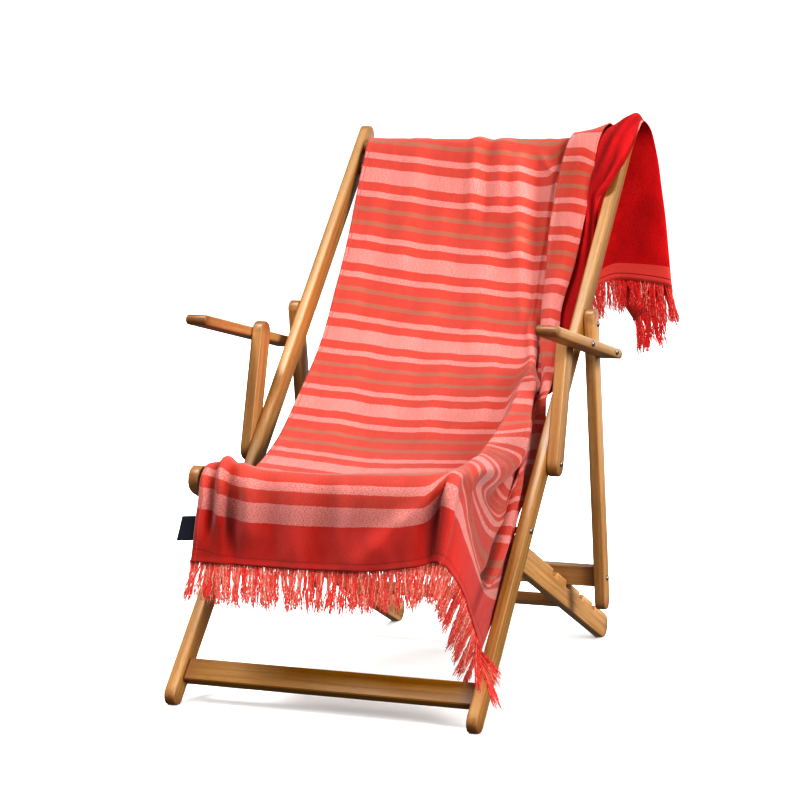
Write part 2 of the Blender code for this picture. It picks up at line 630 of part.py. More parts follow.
def build_label():
    """Bare woven label that stands out of the left side hem near the front end."""
    front = [(x, LABEL_PLACE, z) for x, z in LABEL_CORNERS]
    back = [(x, LABEL_PLACE + LABEL_THICK, z) for x, z in LABEL_CORNERS]
    faces = [(0, 1, 2, 3), (7, 6, 5, 4)]
    faces += [(i, i + 4, (i + 1) % 4 + 4, (i + 1) % 4) for i in range(4)]
    add_object("label", front + back, faces, NAVY_SATIN)


def stand_on_origin():
    """Move every mesh alike, so that the box round them all stands on the origin."""
    points = np.concatenate([[tuple(v.co) for v in obj.data.vertices] for obj in bpy.data.objects])
    low = points.min(axis=0)
    high = points.max(axis=0)
    middle = Vector(((low[0] + high[0]) / 2, (low[1] + high[1]) / 2, low[2]))
    for obj in bpy.data.objects:
        obj.data.transform(Matrix.Translation(-middle))


def main():
    for obj in list(bpy.data.objects):
        bpy.data.objects.remove(obj, do_unlink=True)
    build_chair()
    build_sling()
    build_towel()
    build_fringe("fringe_front", False, FRONT_STRANDS, CORNER_LEAN)
    build_fringe("fringe_rear", True, REAR_STRANDS, 0.0)
    build_label()
    for obj in bpy.data.objects:
        turn_outward(obj)
    stand_on_origin()


main()
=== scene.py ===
"""Looks of a hammam towel draped over a folding wooden deck chair.

The towel is one sheet: flat-woven stripes on the face, cut terry on the back. Its drape repeats the
tables of the solid's own lattice, in millimetres on the chair, and adds hems, wrinkles and puckers.
"""
import math
from functools import partial

import bmesh
import bpy
import numpy as np
from mathutils import Matrix, Vector


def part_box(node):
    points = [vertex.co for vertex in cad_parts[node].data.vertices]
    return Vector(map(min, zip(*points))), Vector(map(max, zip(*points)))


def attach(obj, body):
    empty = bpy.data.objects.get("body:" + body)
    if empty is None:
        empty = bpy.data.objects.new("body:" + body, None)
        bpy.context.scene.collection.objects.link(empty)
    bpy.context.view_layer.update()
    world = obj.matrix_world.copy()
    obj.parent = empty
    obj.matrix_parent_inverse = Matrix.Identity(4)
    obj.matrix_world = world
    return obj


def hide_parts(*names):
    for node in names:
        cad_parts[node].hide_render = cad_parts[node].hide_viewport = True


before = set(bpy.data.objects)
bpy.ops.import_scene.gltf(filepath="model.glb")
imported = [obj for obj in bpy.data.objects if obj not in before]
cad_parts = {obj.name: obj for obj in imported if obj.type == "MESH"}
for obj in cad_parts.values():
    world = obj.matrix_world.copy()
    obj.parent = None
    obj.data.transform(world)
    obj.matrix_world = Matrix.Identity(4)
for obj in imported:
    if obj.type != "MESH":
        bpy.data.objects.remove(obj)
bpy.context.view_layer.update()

MM = 0.001

# -------- the chair's own frame
# The tables below are in millimetres from the middle of the chair, under the front feet.
TOP_BAR = (0.0, 865.0, 999.0)       # x, y, z of the top crossbar's middle
LOW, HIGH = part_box("top_crossbar")
ORIGIN = np.array((LOW + HIGH) / 2) - np.array(TOP_BAR) * MM


def placed(points):
    """Millimetres on the chair to metres in the frame."""
    return np.asarray(points, float) * MM + ORIGIN


# -------- cloth: sizes and drape
CLOTH_WIDE = 850.0
CLOTH_LONG = 1750.0
CLOTH_THICK = 2.0
STRIPE_SLOPE = 0.10             # the towel lies askew on the chair by this much
# The ends are hitched up to the right: by how much, over which x, power of the rise, over which v.
HITCHES = ((21.0, 30, 200, 1.5, 160, 70), (48.0, -90, 140, 1.6, 1520, 1750))

# Middle of the towel from its front end (v = 0) over the front bar, seat, backrest and top bar.
# Columns: v along the cloth, y, z.
MIDDLE = (
    (0, -50, 265), (90, -52, 345), (138, -49, 394), (150, -44, 408), (162, -34, 419),
    (173, -23, 425), (184, -12, 425), (196, 0, 420), (225, 25, 405), (286, 78, 382),
    (380, 168, 379), (478, 254, 401), (580, 347, 443), (682, 431, 501), (784, 513, 562),
    (886, 590, 628), (988, 658, 704), (1090, 720, 785), (1192, 774, 871), (1294, 823, 961),
    (1338, 844, 1001), (1352, 854, 1012), (1365, 866, 1017), (1377, 878, 1015), (1388, 887, 1008),
    (1399, 892, 998), (1430, 896, 967), (1480, 901, 917), (1750, 915, 650),
)
# Left hem and inner edge of the flat part. Columns: v, x of the left hem, its lift off the middle
# curve, x of the last flat column on the right, its lift.
FLAT = (
    (0, -223, 2, 200, 6), (90, -211, 2, 202, 5), (138, -206, 3, 203, 8), (158, -206, 3, 203, 10),
    (173, -207, 3, 203, 12), (192, -208, 7, 202, 13), (225, -211, 15, 201, 17), (286, -220, 18, 199, 20),
    (380, -228, 9, 198, 22), (478, -232, 5, 197, 24), (580, -234, 4, 196, 24), (682, -237, 4, 191, 26),
    (784, -240, 4, 182, 22), (865, -242, 8, 174, 10), (988, -246, 14, 150, 4), (1192, -253, 14, 140, 4),
    (1294, -256, 7, 138, 4), (1365, -258, 1, 140, 1), (1402, -256, 1, 144, 1), (1480, -250, 0, 144, 2),
    (1750, -236, 0, 120, 4),
)

# Right part of the towel, one row per station along the cloth. Columns: v, then seven x, y, z.
# Up to v = 672 they are the rim, roll, tuck, trough, crest, gutter and right hem of the curtain
# that falls inside the rail. From v = 760 they are the main cloth, its run under the flap, the
# right fold edge, the turned layer, the left fold edge, the flap and the right hem.
FOLDS = (
    (0, (224, -52, 292), (238, -44, 286), (249, -33, 268), (258, -15, 243), (266, 12, 192),
     (268, 36, 158), (268, 58, 128)),
    (93, (237, -53, 398), (250, -22, 372), (255, 2, 335), (261, 32, 288), (266, 77, 230),
     (265, 125, 214), (262, 177, 204)),
    (115, (240, -48, 424), (250, -8, 386), (254, 12, 343), (259, 44, 287), (266, 84, 231),
     (264, 136, 223), (262, 190, 218)),
    (138, (241, -27, 440), (250, 8, 400), (253, 24, 350), (257, 56, 287), (266, 92, 234),
     (263, 148, 232), (262, 203, 233)),
    (190, (240, 26, 442), (254, 32, 408), (251, 42, 360), (256, 85, 280), (265, 130, 252),
     (261, 186, 262), (262, 233, 264)),
    (243, (239, 74, 449), (261, 60, 434), (248, 58, 408), (254, 130, 327), (261, 212, 303),
     (257, 224, 300), (266, 238, 297)),
    (286, (237, 106, 453), (262, 116, 429), (248, 90, 402), (254, 180, 330), (260, 234, 335),
     (256, 246, 332), (266, 256, 330)),
    (329, (237, 133, 456), (262, 160, 423), (247, 127, 394), (252, 197, 342), (258, 267, 365),
     (254, 288, 364), (263, 310, 360)),
    (380, (237, 150, 462), (262, 215, 427), (247, 168, 388), (250, 218, 354), (257, 285, 390),
     (252, 322, 394), (262, 352, 387)),
    (436, (237, 172, 469), (262, 276, 437), (246, 212, 394), (249, 246, 368), (256, 300, 414),
     (251, 354, 424), (262, 402, 420)),
    (479, (236, 194, 476), (262, 308, 458), (245, 258, 414), (248, 288, 388), (254, 328, 440),
     (249, 380, 456), (262, 427, 457)),
    (522, (235, 222, 485), (260, 330, 482), (243, 288, 438), (246, 312, 410), (252, 356, 466),
     (247, 402, 490), (262, 428, 488)),
    (600, (232, 308, 518), (255, 363, 510), (239, 340, 476), (243, 352, 456), (249, 388, 500),
     (246, 418, 518), (262, 430, 527)),
    (672, (222, 402, 556), (243, 420, 553), (234, 412, 538), (242, 400, 510), (248, 432, 535),
     (251, 451, 552), (261, 463, 552)),
    (715, (218, 436, 567), (237, 446, 562), (243, 442, 542), (250, 452, 523), (238, 480, 566),
     (242, 492, 580), (255, 500, 578)),
    (760, (214, 474, 577), (230, 467, 569), (256, 473, 539), (241, 500, 571), (216, 538, 611),
     (233, 534, 614), (251, 537, 609)),
    (865, (200, 547, 607), (214, 551, 602), (258, 548, 597), (225, 586, 650), (191, 625, 699),
     (212, 619, 704), (233, 621, 698)),
    (960, (176, 617, 671), (200, 621, 666), (259, 616, 662), (217, 650, 724), (181, 686, 778),
     (209, 679, 780), (238, 681, 773)),
    (1058, (171, 680, 746), (200, 684, 742), (260, 678, 737), (217, 706, 799), (173, 736, 857),
     (207, 729, 859), (239, 733, 852)),
    (1150, (169, 733, 821), (202, 736, 817), (261, 729, 811), (219, 752, 874), (173, 778, 930),
     (208, 770, 933), (242, 775, 927)),
    (1251, (163, 784, 908), (208, 782, 904), (262, 756, 897), (229, 792, 957), (181, 822, 1010),
     (212, 814, 1013), (240, 816, 1004)),
    (1276, (166, 800, 936), (222, 789, 934), (279, 762, 921), (240, 811, 989), (186, 846, 1027),
     (214, 842, 1033), (243, 846, 1038)),
    (1310, (172, 824, 976), (230, 815, 976), (290, 782, 948), (254, 828, 1015), (190, 880, 1030),
     (217, 880, 1038), (246, 882, 1050)),
    (1345, (180, 846, 1013), (240, 836, 1006), (299, 805, 972), (269, 853, 1045), (194, 909, 1002),
     (222, 915, 1014), (250, 918, 1036)),
    (1380, (188, 868, 1021), (256, 854, 1020), (305, 830, 998), (283, 880, 1064), (196, 919, 968),
     (226, 928, 972), (256, 937, 1000)),
    (1420, (192, 897, 1003), (264, 876, 1046), (309, 857, 1030), (294, 908, 1070), (196, 926, 929),
     (228, 935, 931), (262, 946, 954)),
    (1460, (191, 906, 961), (262, 908, 1053), (311, 894, 1055), (302, 932, 1050), (198, 933, 888),
     (232, 942, 890), (268, 954, 906)),
    (1500, (186, 911, 916), (250, 936, 1012), (318, 932, 1034), (307, 954, 1004), (202, 943, 848),
     (238, 952, 850), (276, 962, 862)),
    (1620, (174, 918, 798), (248, 938, 882), (341, 947, 900), (308, 972, 850), (222, 972, 744),
     (258, 982, 746), (296, 990, 752)),
    (1750, (175, 928, 708), (254, 950, 738), (358, 964, 722), (319, 992, 692), (272, 1006, 652),
     (294, 1014, 656), (320, 1022, 668)),
)
# Where the columns lie across the flat cloth, left hem to right hem.
FLAT_COLUMNS = (0, 110, 230, 350, 470)
FOLD_COLUMNS = (515, 565, 615, 670, 725, 785, 850)


def ramp(at, start, end):
    """0 before the start and 1 beyond the end, with an even rise between them."""
    return np.clip((at - start) / (end - start), 0, 1)


def hump(at, centre, width):
    """Rounded bump of height 1."""
    return np.exp(-((at - centre) / width) ** 2)


def unit(vectors):
    """The same directions at length 1."""
    return vectors / np.maximum(np.linalg.norm(vectors, axis=-1, keepdims=True), 1e-9)


def slopes(keys, values):
    """Monotone end-to-end slopes of a table, column by column."""
    step = np.diff(keys)[:, None]
    rate = np.diff(values, axis=0) / step
    same = rate[:-1] * rate[1:] > 0
    before = 2 * step[1:] + step[:-1]
    after = step[1:] + 2 * step[:-1]
    with np.errstate(divide="ignore", invalid="ignore"):
        middle = (before + after) / (before / rate[:-1] + after / rate[1:])
    return np.concatenate([rate[:1], np.where(same, middle, 0.0), rate[-1:]])


def curve(keys, values, at):
    """Smooth curve through a table, read at the places `at`."""
    keys = np.asarray(keys, float)
    values = np.asarray(values, float)
    at = np.clip(np.asarray(at, float), keys[0], keys[-1])
    slope = slopes(keys, values)
    k = np.clip(np.searchsorted(keys, at, side="right") - 1, 0, len(keys) - 2)
    step = keys[k + 1] - keys[k]
    t = ((at - keys[k]) / step)[..., None]
    step = step[..., None]
    return ((1 + 2 * t) * (1 - t) ** 2 * values[k] + t * (1 - t) ** 2 * step * slope[k]
            + t * t * (3 - 2 * t) * values[k + 1] + t * t * (t - 1) * step * slope[k + 1])


def middle_curve(v):
    """y and z of the towel's middle at the places v along it."""
    table = np.array(MIDDLE, float)
    return curve(table[:, 0], table[:, 1:], v)


def middle_up(v):
    """Unit normal of the middle curve, on the striped side."""
    along = unit(middle_curve(v + 3.0) - middle_curve(v - 3.0))
    return np.stack([-along[..., 1], along[..., 0]], -1)


def flat_part(v, x, lift):
    """A point of the flat part of the towel: v along it, x across, lift off the middle curve."""
    on_chair = ramp(v, 150, 350) * ramp(v, 1500, 1400)
    v_here = v - STRIPE_SLOPE * (x + 60.0) * on_chair
    yz = middle_curve(v_here) + middle_up(v_here) * lift[..., None]
    for rise, x_from, x_to, power, v_from, v_to in HITCHES:
        yz[..., 1] += rise * (ramp(x, x_from, x_to) ** power * ramp(v, v_from, v_to))
    return np.concatenate([x[..., None], yz], -1)


def corner_bunch(u, v):
    """How far the bunched front left corner and its two soft pleats stand off the cloth."""
    on_bar = hump(v, 176, 26) * (17.0 * hump(u, 38, 20) + 8.0 * hump(u, 74, 18))
    hang = ramp(v, 185, 125) * np.clip(v / 90.0, 0.3, 1)
    return on_bar + 8.0 * hang * (hump(u, 60, 12) - 0.6 * hump(u, 84, 14))


def flat_columns(v_lines):
    """The flat part's columns. A lift fades out from its own edge to the middle of the part."""
    flat = np.array(FLAT, float)
    left, left_lift, right, right_lift = curve(flat[:, 0], flat[:, 1:], v_lines).T
    columns = []
    for u in FLAT_COLUMNS:
        part = u / FLAT_COLUMNS[-1]
        lift = left_lift * max(0.0, 1 - 2.2 * part) + right_lift * max(0.0, 2.2 * part - 1.2)
        columns.append(flat_part(v_lines, left * (1 - part) + right * part, lift))
    return np.stack(columns, 1)


def fold_columns(v_lines):
    """The seven columns of the folded right part."""
    keys = np.array([row[0] for row in FOLDS], float)
    values = np.array([row[1:] for row in FOLDS], float).reshape(len(keys), -1)
    return curve(keys, values, v_lines).reshape(len(v_lines), -1, 3)


def towel_middle(u_lines, v_lines):
    """Middle surface of the towel on a grid of u across and v along, in millimetres."""
    columns = np.concatenate([flat_columns(v_lines), fold_columns(v_lines)], 1)
    out = np.stack([curve(FLAT_COLUMNS + FOLD_COLUMNS, row, u_lines) for row in columns])
    u_grid, v_grid = np.meshgrid(u_lines, v_lines)
    out[..., 1:] += corner_bunch(u_grid, v_grid)[..., None] * middle_up(v_lines)[:, None, :]
    return out


def sheet_normals(points):
    """Unit normals of a grid of points."""
    return unit(np.cross(np.gradient(points, axis=1), np.gradient(points, axis=0)))


# -------- wrinkles and hems
# Creases and soft folds read from the photograph: u and v of both ends, width, height (minus is a
# valley), in millimetres on the cloth.
CREASES = (
    # backrest, next to the turned flap and below the top bar
    (310, 1372, 332, 1175, 12, -2.5), (280, 1372, 302, 1180, 18, 8), (350, 1365, 370, 1200, 20, 6.5),
    (398, 1322, 436, 1100, 22, 15), (440, 1318, 474, 1120, 12, -3), (452, 1334, 522, 1264, 7, 7),
    (478, 1120, 500, 960, 16, -2), (440, 1100, 468, 960, 18, 4.5), (140, 1340, 150, 1050, 26, 3.6),
    (232, 1180, 252, 905, 28, 3.6), (60, 1260, 52, 860, 22, 2.6), (350, 1120, 372, 840, 24, 3.4),
    (205, 900, 214, 640, 28, 3), (300, 860, 320, 600, 28, 3), (110, 900, 120, 560, 30, 2.6),
    (404, 900, 430, 640, 20, 3.2),
    # roll along the right of the seat and its groove
    (548, 940, 560, 830, 11, -9), (560, 830, 628, 700, 11, -9), (500, 930, 515, 800, 16, 5),
    (515, 800, 560, 660, 16, 5), (600, 560, 640, 330, 16, -5), (560, 560, 596, 330, 18, 5),
    # front hang: pleats at the pinched left corner
    (9, 178, 8, 50, 9, 6), (26, 172, 28, 60, 8, -7), (43, 176, 47, 84, 9, 6),
    (62, 165, 72, 66, 11, -9), (72, 66, 90, 16, 14, -6), (94, 172, 116, 60, 20, 6),
    # front hang: diagonal fold, valley before the right corner, edge of the corner
    (330, 6, 380, 46, 28, 7), (380, 46, 430, 96, 24, 10), (430, 96, 498, 146, 19, 9),
    (490, 132, 494, 70, 24, -13), (494, 70, 496, 0, 28, -14), (532, 160, 542, 70, 9, 7),
    (542, 70, 540, 0, 9, 7), (200, 150, 206, 16, 26, 3), (262, 150, 256, 8, 26, -3.4),
    (150, 140, 160, 16, 18, -2.4), (304, 150, 300, 50, 12, 2),
    # curtain: a long groove and the ridge beside it
    (700, 150, 705, 420, 7, -14), (735, 150, 740, 420, 9, 6),
    # terry layer between flap and rail: long ridges up to the crest
    (636, 1400, 618, 1090, 5, -8), (660, 1410, 640, 1090, 6, -8), (690, 1380, 662, 1090, 5, -5),
    (725, 1350, 725, 960, 9, 4),
)

# Rows that only paint shade and light into the cloth's colour, in the same columns: painted shade in
# grooves between folds, which are narrower than the mesh, and painted light and shade on broad places.
SHADE_ROWS = (
    (668, 1440, 655, 1290, 5, 16), (655, 1290, 626, 1090, 5, 16), (644, 1330, 612, 1130, 5, 14),
    (500, 1372, 508, 1262, 8, -14), (508, 1262, 506, 1100, 6, -10), (506, 1100, 518, 960, 5, -8),
    (692, 330, 712, 110, 9, -16), (712, 110, 720, 20, 8, -14), (486, 132, 490, 6, 12, -7),
    (590, 150, 640, 10, 75, 6.5), (0, 96, 480, 96, 26, -2.4), (0, 30, 470, 30, 28, -1.2),
    (60, 150, 70, 6, 80, -3), (34, 150, 37, 40, 7, -6), (68, 160, 76, 30, 10, -6),
    (800, 1345, 800, 960, 50, -3),
)


def crease(u, v, u_a, v_a, u_b, v_b, width, height):
    """Height of one crease: highest midway along its run, gone a little beyond both ends."""
    run = np.hypot(u_b - u_a, v_b - v_a)
    along = ((u - u_a) * (u_b - u_a) + (v - v_a) * (v_b - v_a)) / run
    aside = ((u - u_a) * (v_b - v_a) - (v - v_a) * (u_b - u_a)) / run
    ends = 1 / (1 + np.exp(-(along + 4) / 9)) / (1 + np.exp((along - run - 4) / 9))
    return height * ends * hump(aside, 0.0, width)


def relief(u, v):
    """How far folds and puckers stand off the smooth drape, in millimetres, striped side up."""
    height = 0.35 * np.sin(u / 5.3 + 1.7 * np.sin(v / 41.0)) * np.sin(v / 23.0 + u / 61.0)
    height += 0.28 * np.sin(u / 9.1 - v / 37.0 + 2.1) * np.cos(v / 17.0)
    for row in CREASES:
        height = height + crease(u, v, *row)
    return height


def weft_askew(u, v):
    """How far the stripes lie off their true place along the cloth where it is pulled or bunched."""
    hang = ramp(v, 0, 50) * ramp(v, 200, 140)
    bunch = ramp(v, 176, 202) * ramp(v, 330, 210) * hump(u, 52, 40)
    return 72.0 * bunch - hang * (9.0 + 20.0 * hump(u, 0, 62))


def hem_swell(u, v):
    """Extra half thickness where the cloth is turned over and stitched, in millimetres."""
    to_side = np.minimum(u, CLOTH_WIDE - u)
    to_end = np.minimum(v, CLOTH_LONG - v)
    turned = np.maximum(np.clip(1.2 - to_side / 9.0, 0, 1), np.clip(1.2 - to_end / 10.0, 0, 1))
    return 0.45 * turned - 0.35 * (hump(to_side, 9.5, 1.6) + hump(to_end, 11.5, 1.8))


# -------- materials
def colour(code):
    """sRGB hex such as "F05A46" to linear RGBA."""
    parts = [int(code[i:i + 2], 16) / 255 for i in (0, 2, 4)]
    return (*(c / 12.92 if c <= 0.04045 else ((c + 0.055) / 1.055) ** 2.4 for c in parts), 1.0)


def add_node(tree, kind, inputs=(), out=0, **settings):
    """Add a node and return one of its outputs. `inputs` is a value or the output to link for each of
    the first sockets in turn, or for each socket named or numbered."""
    node = tree.nodes.new("ShaderNode" + kind)
    for name, value in settings.items():
        setattr(node, name, value)
    for socket, value in (inputs.items() if isinstance(inputs, dict) else enumerate(inputs)):
        if isinstance(value, bpy.types.NodeSocket):
            tree.links.new(value, node.inputs[socket])
        else:
            node.inputs[socket].default_value = value
    return node.outputs[out]


def set_stops(paint, stops, step="LINEAR"):
    """Give the colour ramp of an output its (place, hex) stops."""
    band = paint.node.color_ramp
    band.interpolation = step
    marks = band.elements
    while len(marks) > 1:
        marks.remove(marks[-1])
    marks[0].position = stops[0][0]
    marks[0].color = colour(stops[0][1])
    for place, code in stops[1:]:
        marks.new(place).color = colour(code)
    return paint


def finish(name, **sockets):
    """New material, its shader with the constant sockets given by name, and what adds its nodes."""
    made = bpy.data.materials.new(name)
    made.use_nodes = True
    shader = made.node_tree.nodes["Principled BSDF"]
    for socket, value in sockets.items():
        shader.inputs[socket.replace("_", " ")].default_value = value
    return made, shader, partial(add_node, made.node_tree)


def connect(shader, **outputs):
    """Link outputs to the sockets of a shader, given by name."""
    for socket, output in outputs.items():
        shader.id_data.links.new(output, shader.inputs[socket.replace("_", " ")])


# The flat cloth's pattern and seams, in millimetres.
STRIPE_PITCH = 193.0        # the stripes repeat at this distance along the cloth
WIDE_AT = 93.0              # centre of the first wide pale stripe
WIDE_HALF = 17.0            # half of its width; before it and after the last one the cloth is plain
HALF_PITCH = STRIPE_PITCH / 2
# Distance from the middle of a wide stripe where each yarn colour starts, both ways. Columns:
# distance, ground yarn, yarn mixed into it.
STRIPES = (
    (0.0, "DE9890", "C85A52"), (WIDE_HALF, "CE4D3B", "B83A2E"), (38.0, "DE9890", "C85A52"),
    (52.0, "CE4D3B", "B83A2E"), (74.5, "A66C54", "BC5644"), (85.5, "CE4D3B", "B83A2E"),
)
# Plain border at both ends: a deeper red than the coral between the stripes, and painted darker still as
# painted shade on the hanging ends.
BORDER = ("D03A2E", "C03028")
END_SEAM = (12.0, 0.9)      # distance of a seam from the edge, and half of its width
SIDE_SEAM = (8.5, 1.1)
TERRY_SEAM = (11.5, 0.8)
STITCH = (4.0, 2.8)         # from one stitch to the next, and length of a stitch
BARE_BAND = 30.0            # band without pile at both ends of the terry
REAR_PAINTED_LIGHT = (1420.0, 1520.0)     # over this length the end that hangs behind is painted lighter, as painted light


def seam_mask(add, place, long, seam):
    """Mask of a seam that runs at its distance from both edges, and the distance to the nearer edge."""
    to_edge = add("Math", (place, long / 2 * MM), operation="PINGPONG")
    return add("Math", (to_edge, seam[0] * MM, seam[1] * MM), operation="COMPARE"), to_edge


def paint_fold_shade_and_light(add, paint, way=1):
    """Painted shade and highlight: the cloth is painted darker and redder down in its folds, as shade
    where light bounces from side to side, and painted paler along their ridges. `way` is -1 on the side
    whose valleys are the other one's ridges."""
    fold = add("Attribute", out="Fac", attribute_name="fold")
    depth = add("MapRange", (fold, -20.0 * way, 11.0 * way, 0.3, 1.24))
    red = add("MapRange", (fold, -12.0 * way, 0.0, 1.12, 1.0))
    return add("HueSaturation", {"Saturation": red, "Value": depth, "Color": paint})


def flat_weave():
    """Cotton flat weave: dyed stripes, pale weft mixed with the ground, matt and slightly fuzzy."""
    made, shader, add = finish("cotton_flat_weave_striped", Roughness=0.88, Sheen_Weight=0.25,
                               Sheen_Roughness=0.5)
    cloth = add("UVMap", uv_map="cloth")
    across, straight, _ = add("SeparateXYZ", (cloth,)).node.outputs
    # Weft never runs quite straight: the stripes waver by about half a millimetre.
    noise = add("TexNoise", {"Vector": cloth, "Scale": 60.0, "Detail": 1.0})
    waver = add("Math", (noise, 0.0016, -0.0008), operation="MULTIPLY_ADD")
    along = add("Math", (straight, waver))
    from_wide = add("Math", (along, -WIDE_AT * MM))
    folded = add("Math", (from_wide, HALF_PITCH * MM), operation="PINGPONG")
    share = add("Math", (folded, HALF_PITCH * MM), operation="DIVIDE")
    ground, mixed_in = (
        set_stops(add("ValToRGB", (share,)), [(row[0] / HALF_PITCH, row[k]) for row in STRIPES],
                  "CONSTANT") for k in (1, 2))
    # Yarns are 0.5 mm apart, too fine for the picture: drawn as slubs 1.1 mm by 4 mm along the weft.
    slub_place = add("Mapping", {0: cloth, 3: (260.0, 900.0, 1.0)})
    slub = add("TexNoise", {"Vector": slub_place, "Scale": 1.0, "Detail": 3.0, "Roughness": 0.7})
    slub_mix = add("MapRange", (slub, 0.45, 0.6))
    striped = add("Mix", {0: slub_mix, 6: ground, 7: mixed_in}, 2, data_type="RGBA")
    plain = add("Mix", {0: slub_mix, 6: colour(BORDER[0]), 7: colour(BORDER[1])}, 2, data_type="RGBA")
    before = add("Math", (along, (WIDE_AT - WIDE_HALF) * MM), operation="LESS_THAN")
    after = add("Math", (along, (CLOTH_LONG - WIDE_AT + WIDE_HALF) * MM), operation="GREATER_THAN")
    border = add("Math", (before, after))
    woven = add("Mix", {0: border, 6: striped, 7: plain}, 2, data_type="RGBA")
    # A row of stitches at each end sinks in and shows as a darker line.
    at_seam, _ = seam_mask(add, straight, CLOTH_LONG, END_SEAM)
    seamed = add("Mix", {0: at_seam, 6: woven, 7: colour("B03028")}, 2, data_type="RGBA")
    # Two rows of pale stitches hold the side hems.
    at_hem, _ = seam_mask(add, across, CLOTH_WIDE, SIDE_SEAM)
    dash = add("Math", (straight, STITCH[0] * MM), operation="MODULO")
    dashed = add("Math", (dash, STITCH[1] * MM), operation="LESS_THAN")
    stitch = add("Math", (at_hem, dashed), operation="MULTIPLY")
    stitched = add("Mix", {0: stitch, 6: seamed, 7: colour("DA4E42")}, 2, data_type="RGBA")
    # Washing leaves the cloth a little lighter and darker in soft patches.
    patch = add("TexNoise", {"Vector": cloth, "Scale": 14.0, "Detail": 3.0})
    patch_tone = add("MapRange", (patch, 0.3, 0.7, 0.94, 1.05))
    toned = add("HueSaturation", {"Value": patch_tone, "Color": stitched})
    # Ribs of the weave, drawn 1.9 mm apart for the same reason as the slubs.
    rib_place = add("Mapping", {0: cloth, 3: (520.0, 520.0, 1.0)})
    rib = add("TexChecker", {0: rib_place, "Scale": 1.0}, "Fac")
    lump = add("Math", (rib, 0.35, slub), operation="MULTIPLY_ADD")
    bump = add("Bump", {"Strength": 0.55, "Distance": 0.0006, "Height": lump})
    connect(shader, Base_Color=paint_fold_shade_and_light(add, toned), Normal=bump)
    return made


def cut_terry():
    """Cotton terry, sheared to a velvet: saturated red pile that catches light at grazing angles."""
    made, shader, add = finish("cotton_velour_terry", Roughness=0.95, Sheen_Weight=0.45,
                               Sheen_Roughness=0.4, Sheen_Tint=colour("FF4A40"))
    cloth = add("UVMap", uv_map="cloth")
    along = add("SeparateXYZ", (cloth,), 1)
    # The pile was brushed along the cloth: soft marks about 30 mm wide and 80 mm long.
    brushed = add("Mapping", {0: cloth, 3: (30.0, 12.0, 1.0)})
    nap = add("TexNoise", {"Vector": brushed, "Scale": 1.0, "Detail": 4.0, "Roughness": 0.65})
    pile = set_stops(add("ValToRGB", (nap,)), [(0.3, "A4060E"), (0.5, "BC0A12"), (0.72, "CE1C1C")])
    # Tufts of pile about 1.6 mm apart.
    tuft = add("TexNoise", {"Vector": cloth, "Scale": 620.0, "Detail": 2.0})
    tuft_tone = add("MapRange", (tuft, 0.3, 0.7, 0.82, 1.12))
    speckled = add("HueSaturation", {"Value": tuft_tone, "Color": pile})
    # Painted light: the end that hangs behind is painted up to 1.6 times lighter.
    rear_light_tone = add("MapRange", (along, REAR_PAINTED_LIGHT[0] * MM, REAR_PAINTED_LIGHT[1] * MM, 1.0, 1.6))
    rear_lit = add("HueSaturation", {"Value": rear_light_tone, "Color": speckled})
    seam, to_end = seam_mask(add, along, CLOTH_LONG, TERRY_SEAM)
    band = add("Math", (to_end, BARE_BAND * MM), operation="LESS_THAN")
    banded = add("Mix", {0: band, 6: rear_lit, 7: colour("FF5C52")}, 2, data_type="RGBA")
    lined = add("Mix", {0: seam, 6: banded, 7: colour("B01C1E")}, 2, data_type="RGBA")
    bump = add("Bump", {"Strength": 0.8, "Distance": 0.0012, "Height": tuft})
    connect(shader, Base_Color=paint_fold_shade_and_light(add, lined, -1), Normal=bump)
    return made


def loose_yarn():
    """Twisted cotton ends of the warp: coral, deep red and undyed yarns side by side."""
    made, shader, add = finish("cotton_yarn_fringe", Roughness=0.9, Sheen_Weight=0.5,
                               Sheen_Roughness=0.5, Sheen_Tint=colour("FF5A4C"))
    yarn = add("Attribute", out="Vector", attribute_name="yarn")
    tone, along, _ = add("SeparateXYZ", (yarn,)).node.outputs
    dyed = set_stops(add("ValToRGB", (tone,)),
                     [(0.0, "FF3038"), (0.2, "E03C38"), (0.45, "DE6456"), (0.65, "E4887A"),
                      (0.8, "ECA894"), (1.0, "F6D6C4")])
    # One turn of the twist every 7 mm; each turn is painted darker and lighter, as painted shade and
    # highlight on the plies.
    twist = add("Math", (along, 900.0), operation="MULTIPLY")
    turns = add("Math", (twist,), operation="SINE")
    shade = add("MapRange", (turns, -1.0, 1.0, 0.86, 1.06))
    toned = add("HueSaturation", {"Value": shade, "Color": dyed})
    bump = add("Bump", {"Strength": 0.5, "Distance": 0.0004, "Height": turns})
    connect(shader, Base_Color=toned, Normal=bump)
    return made


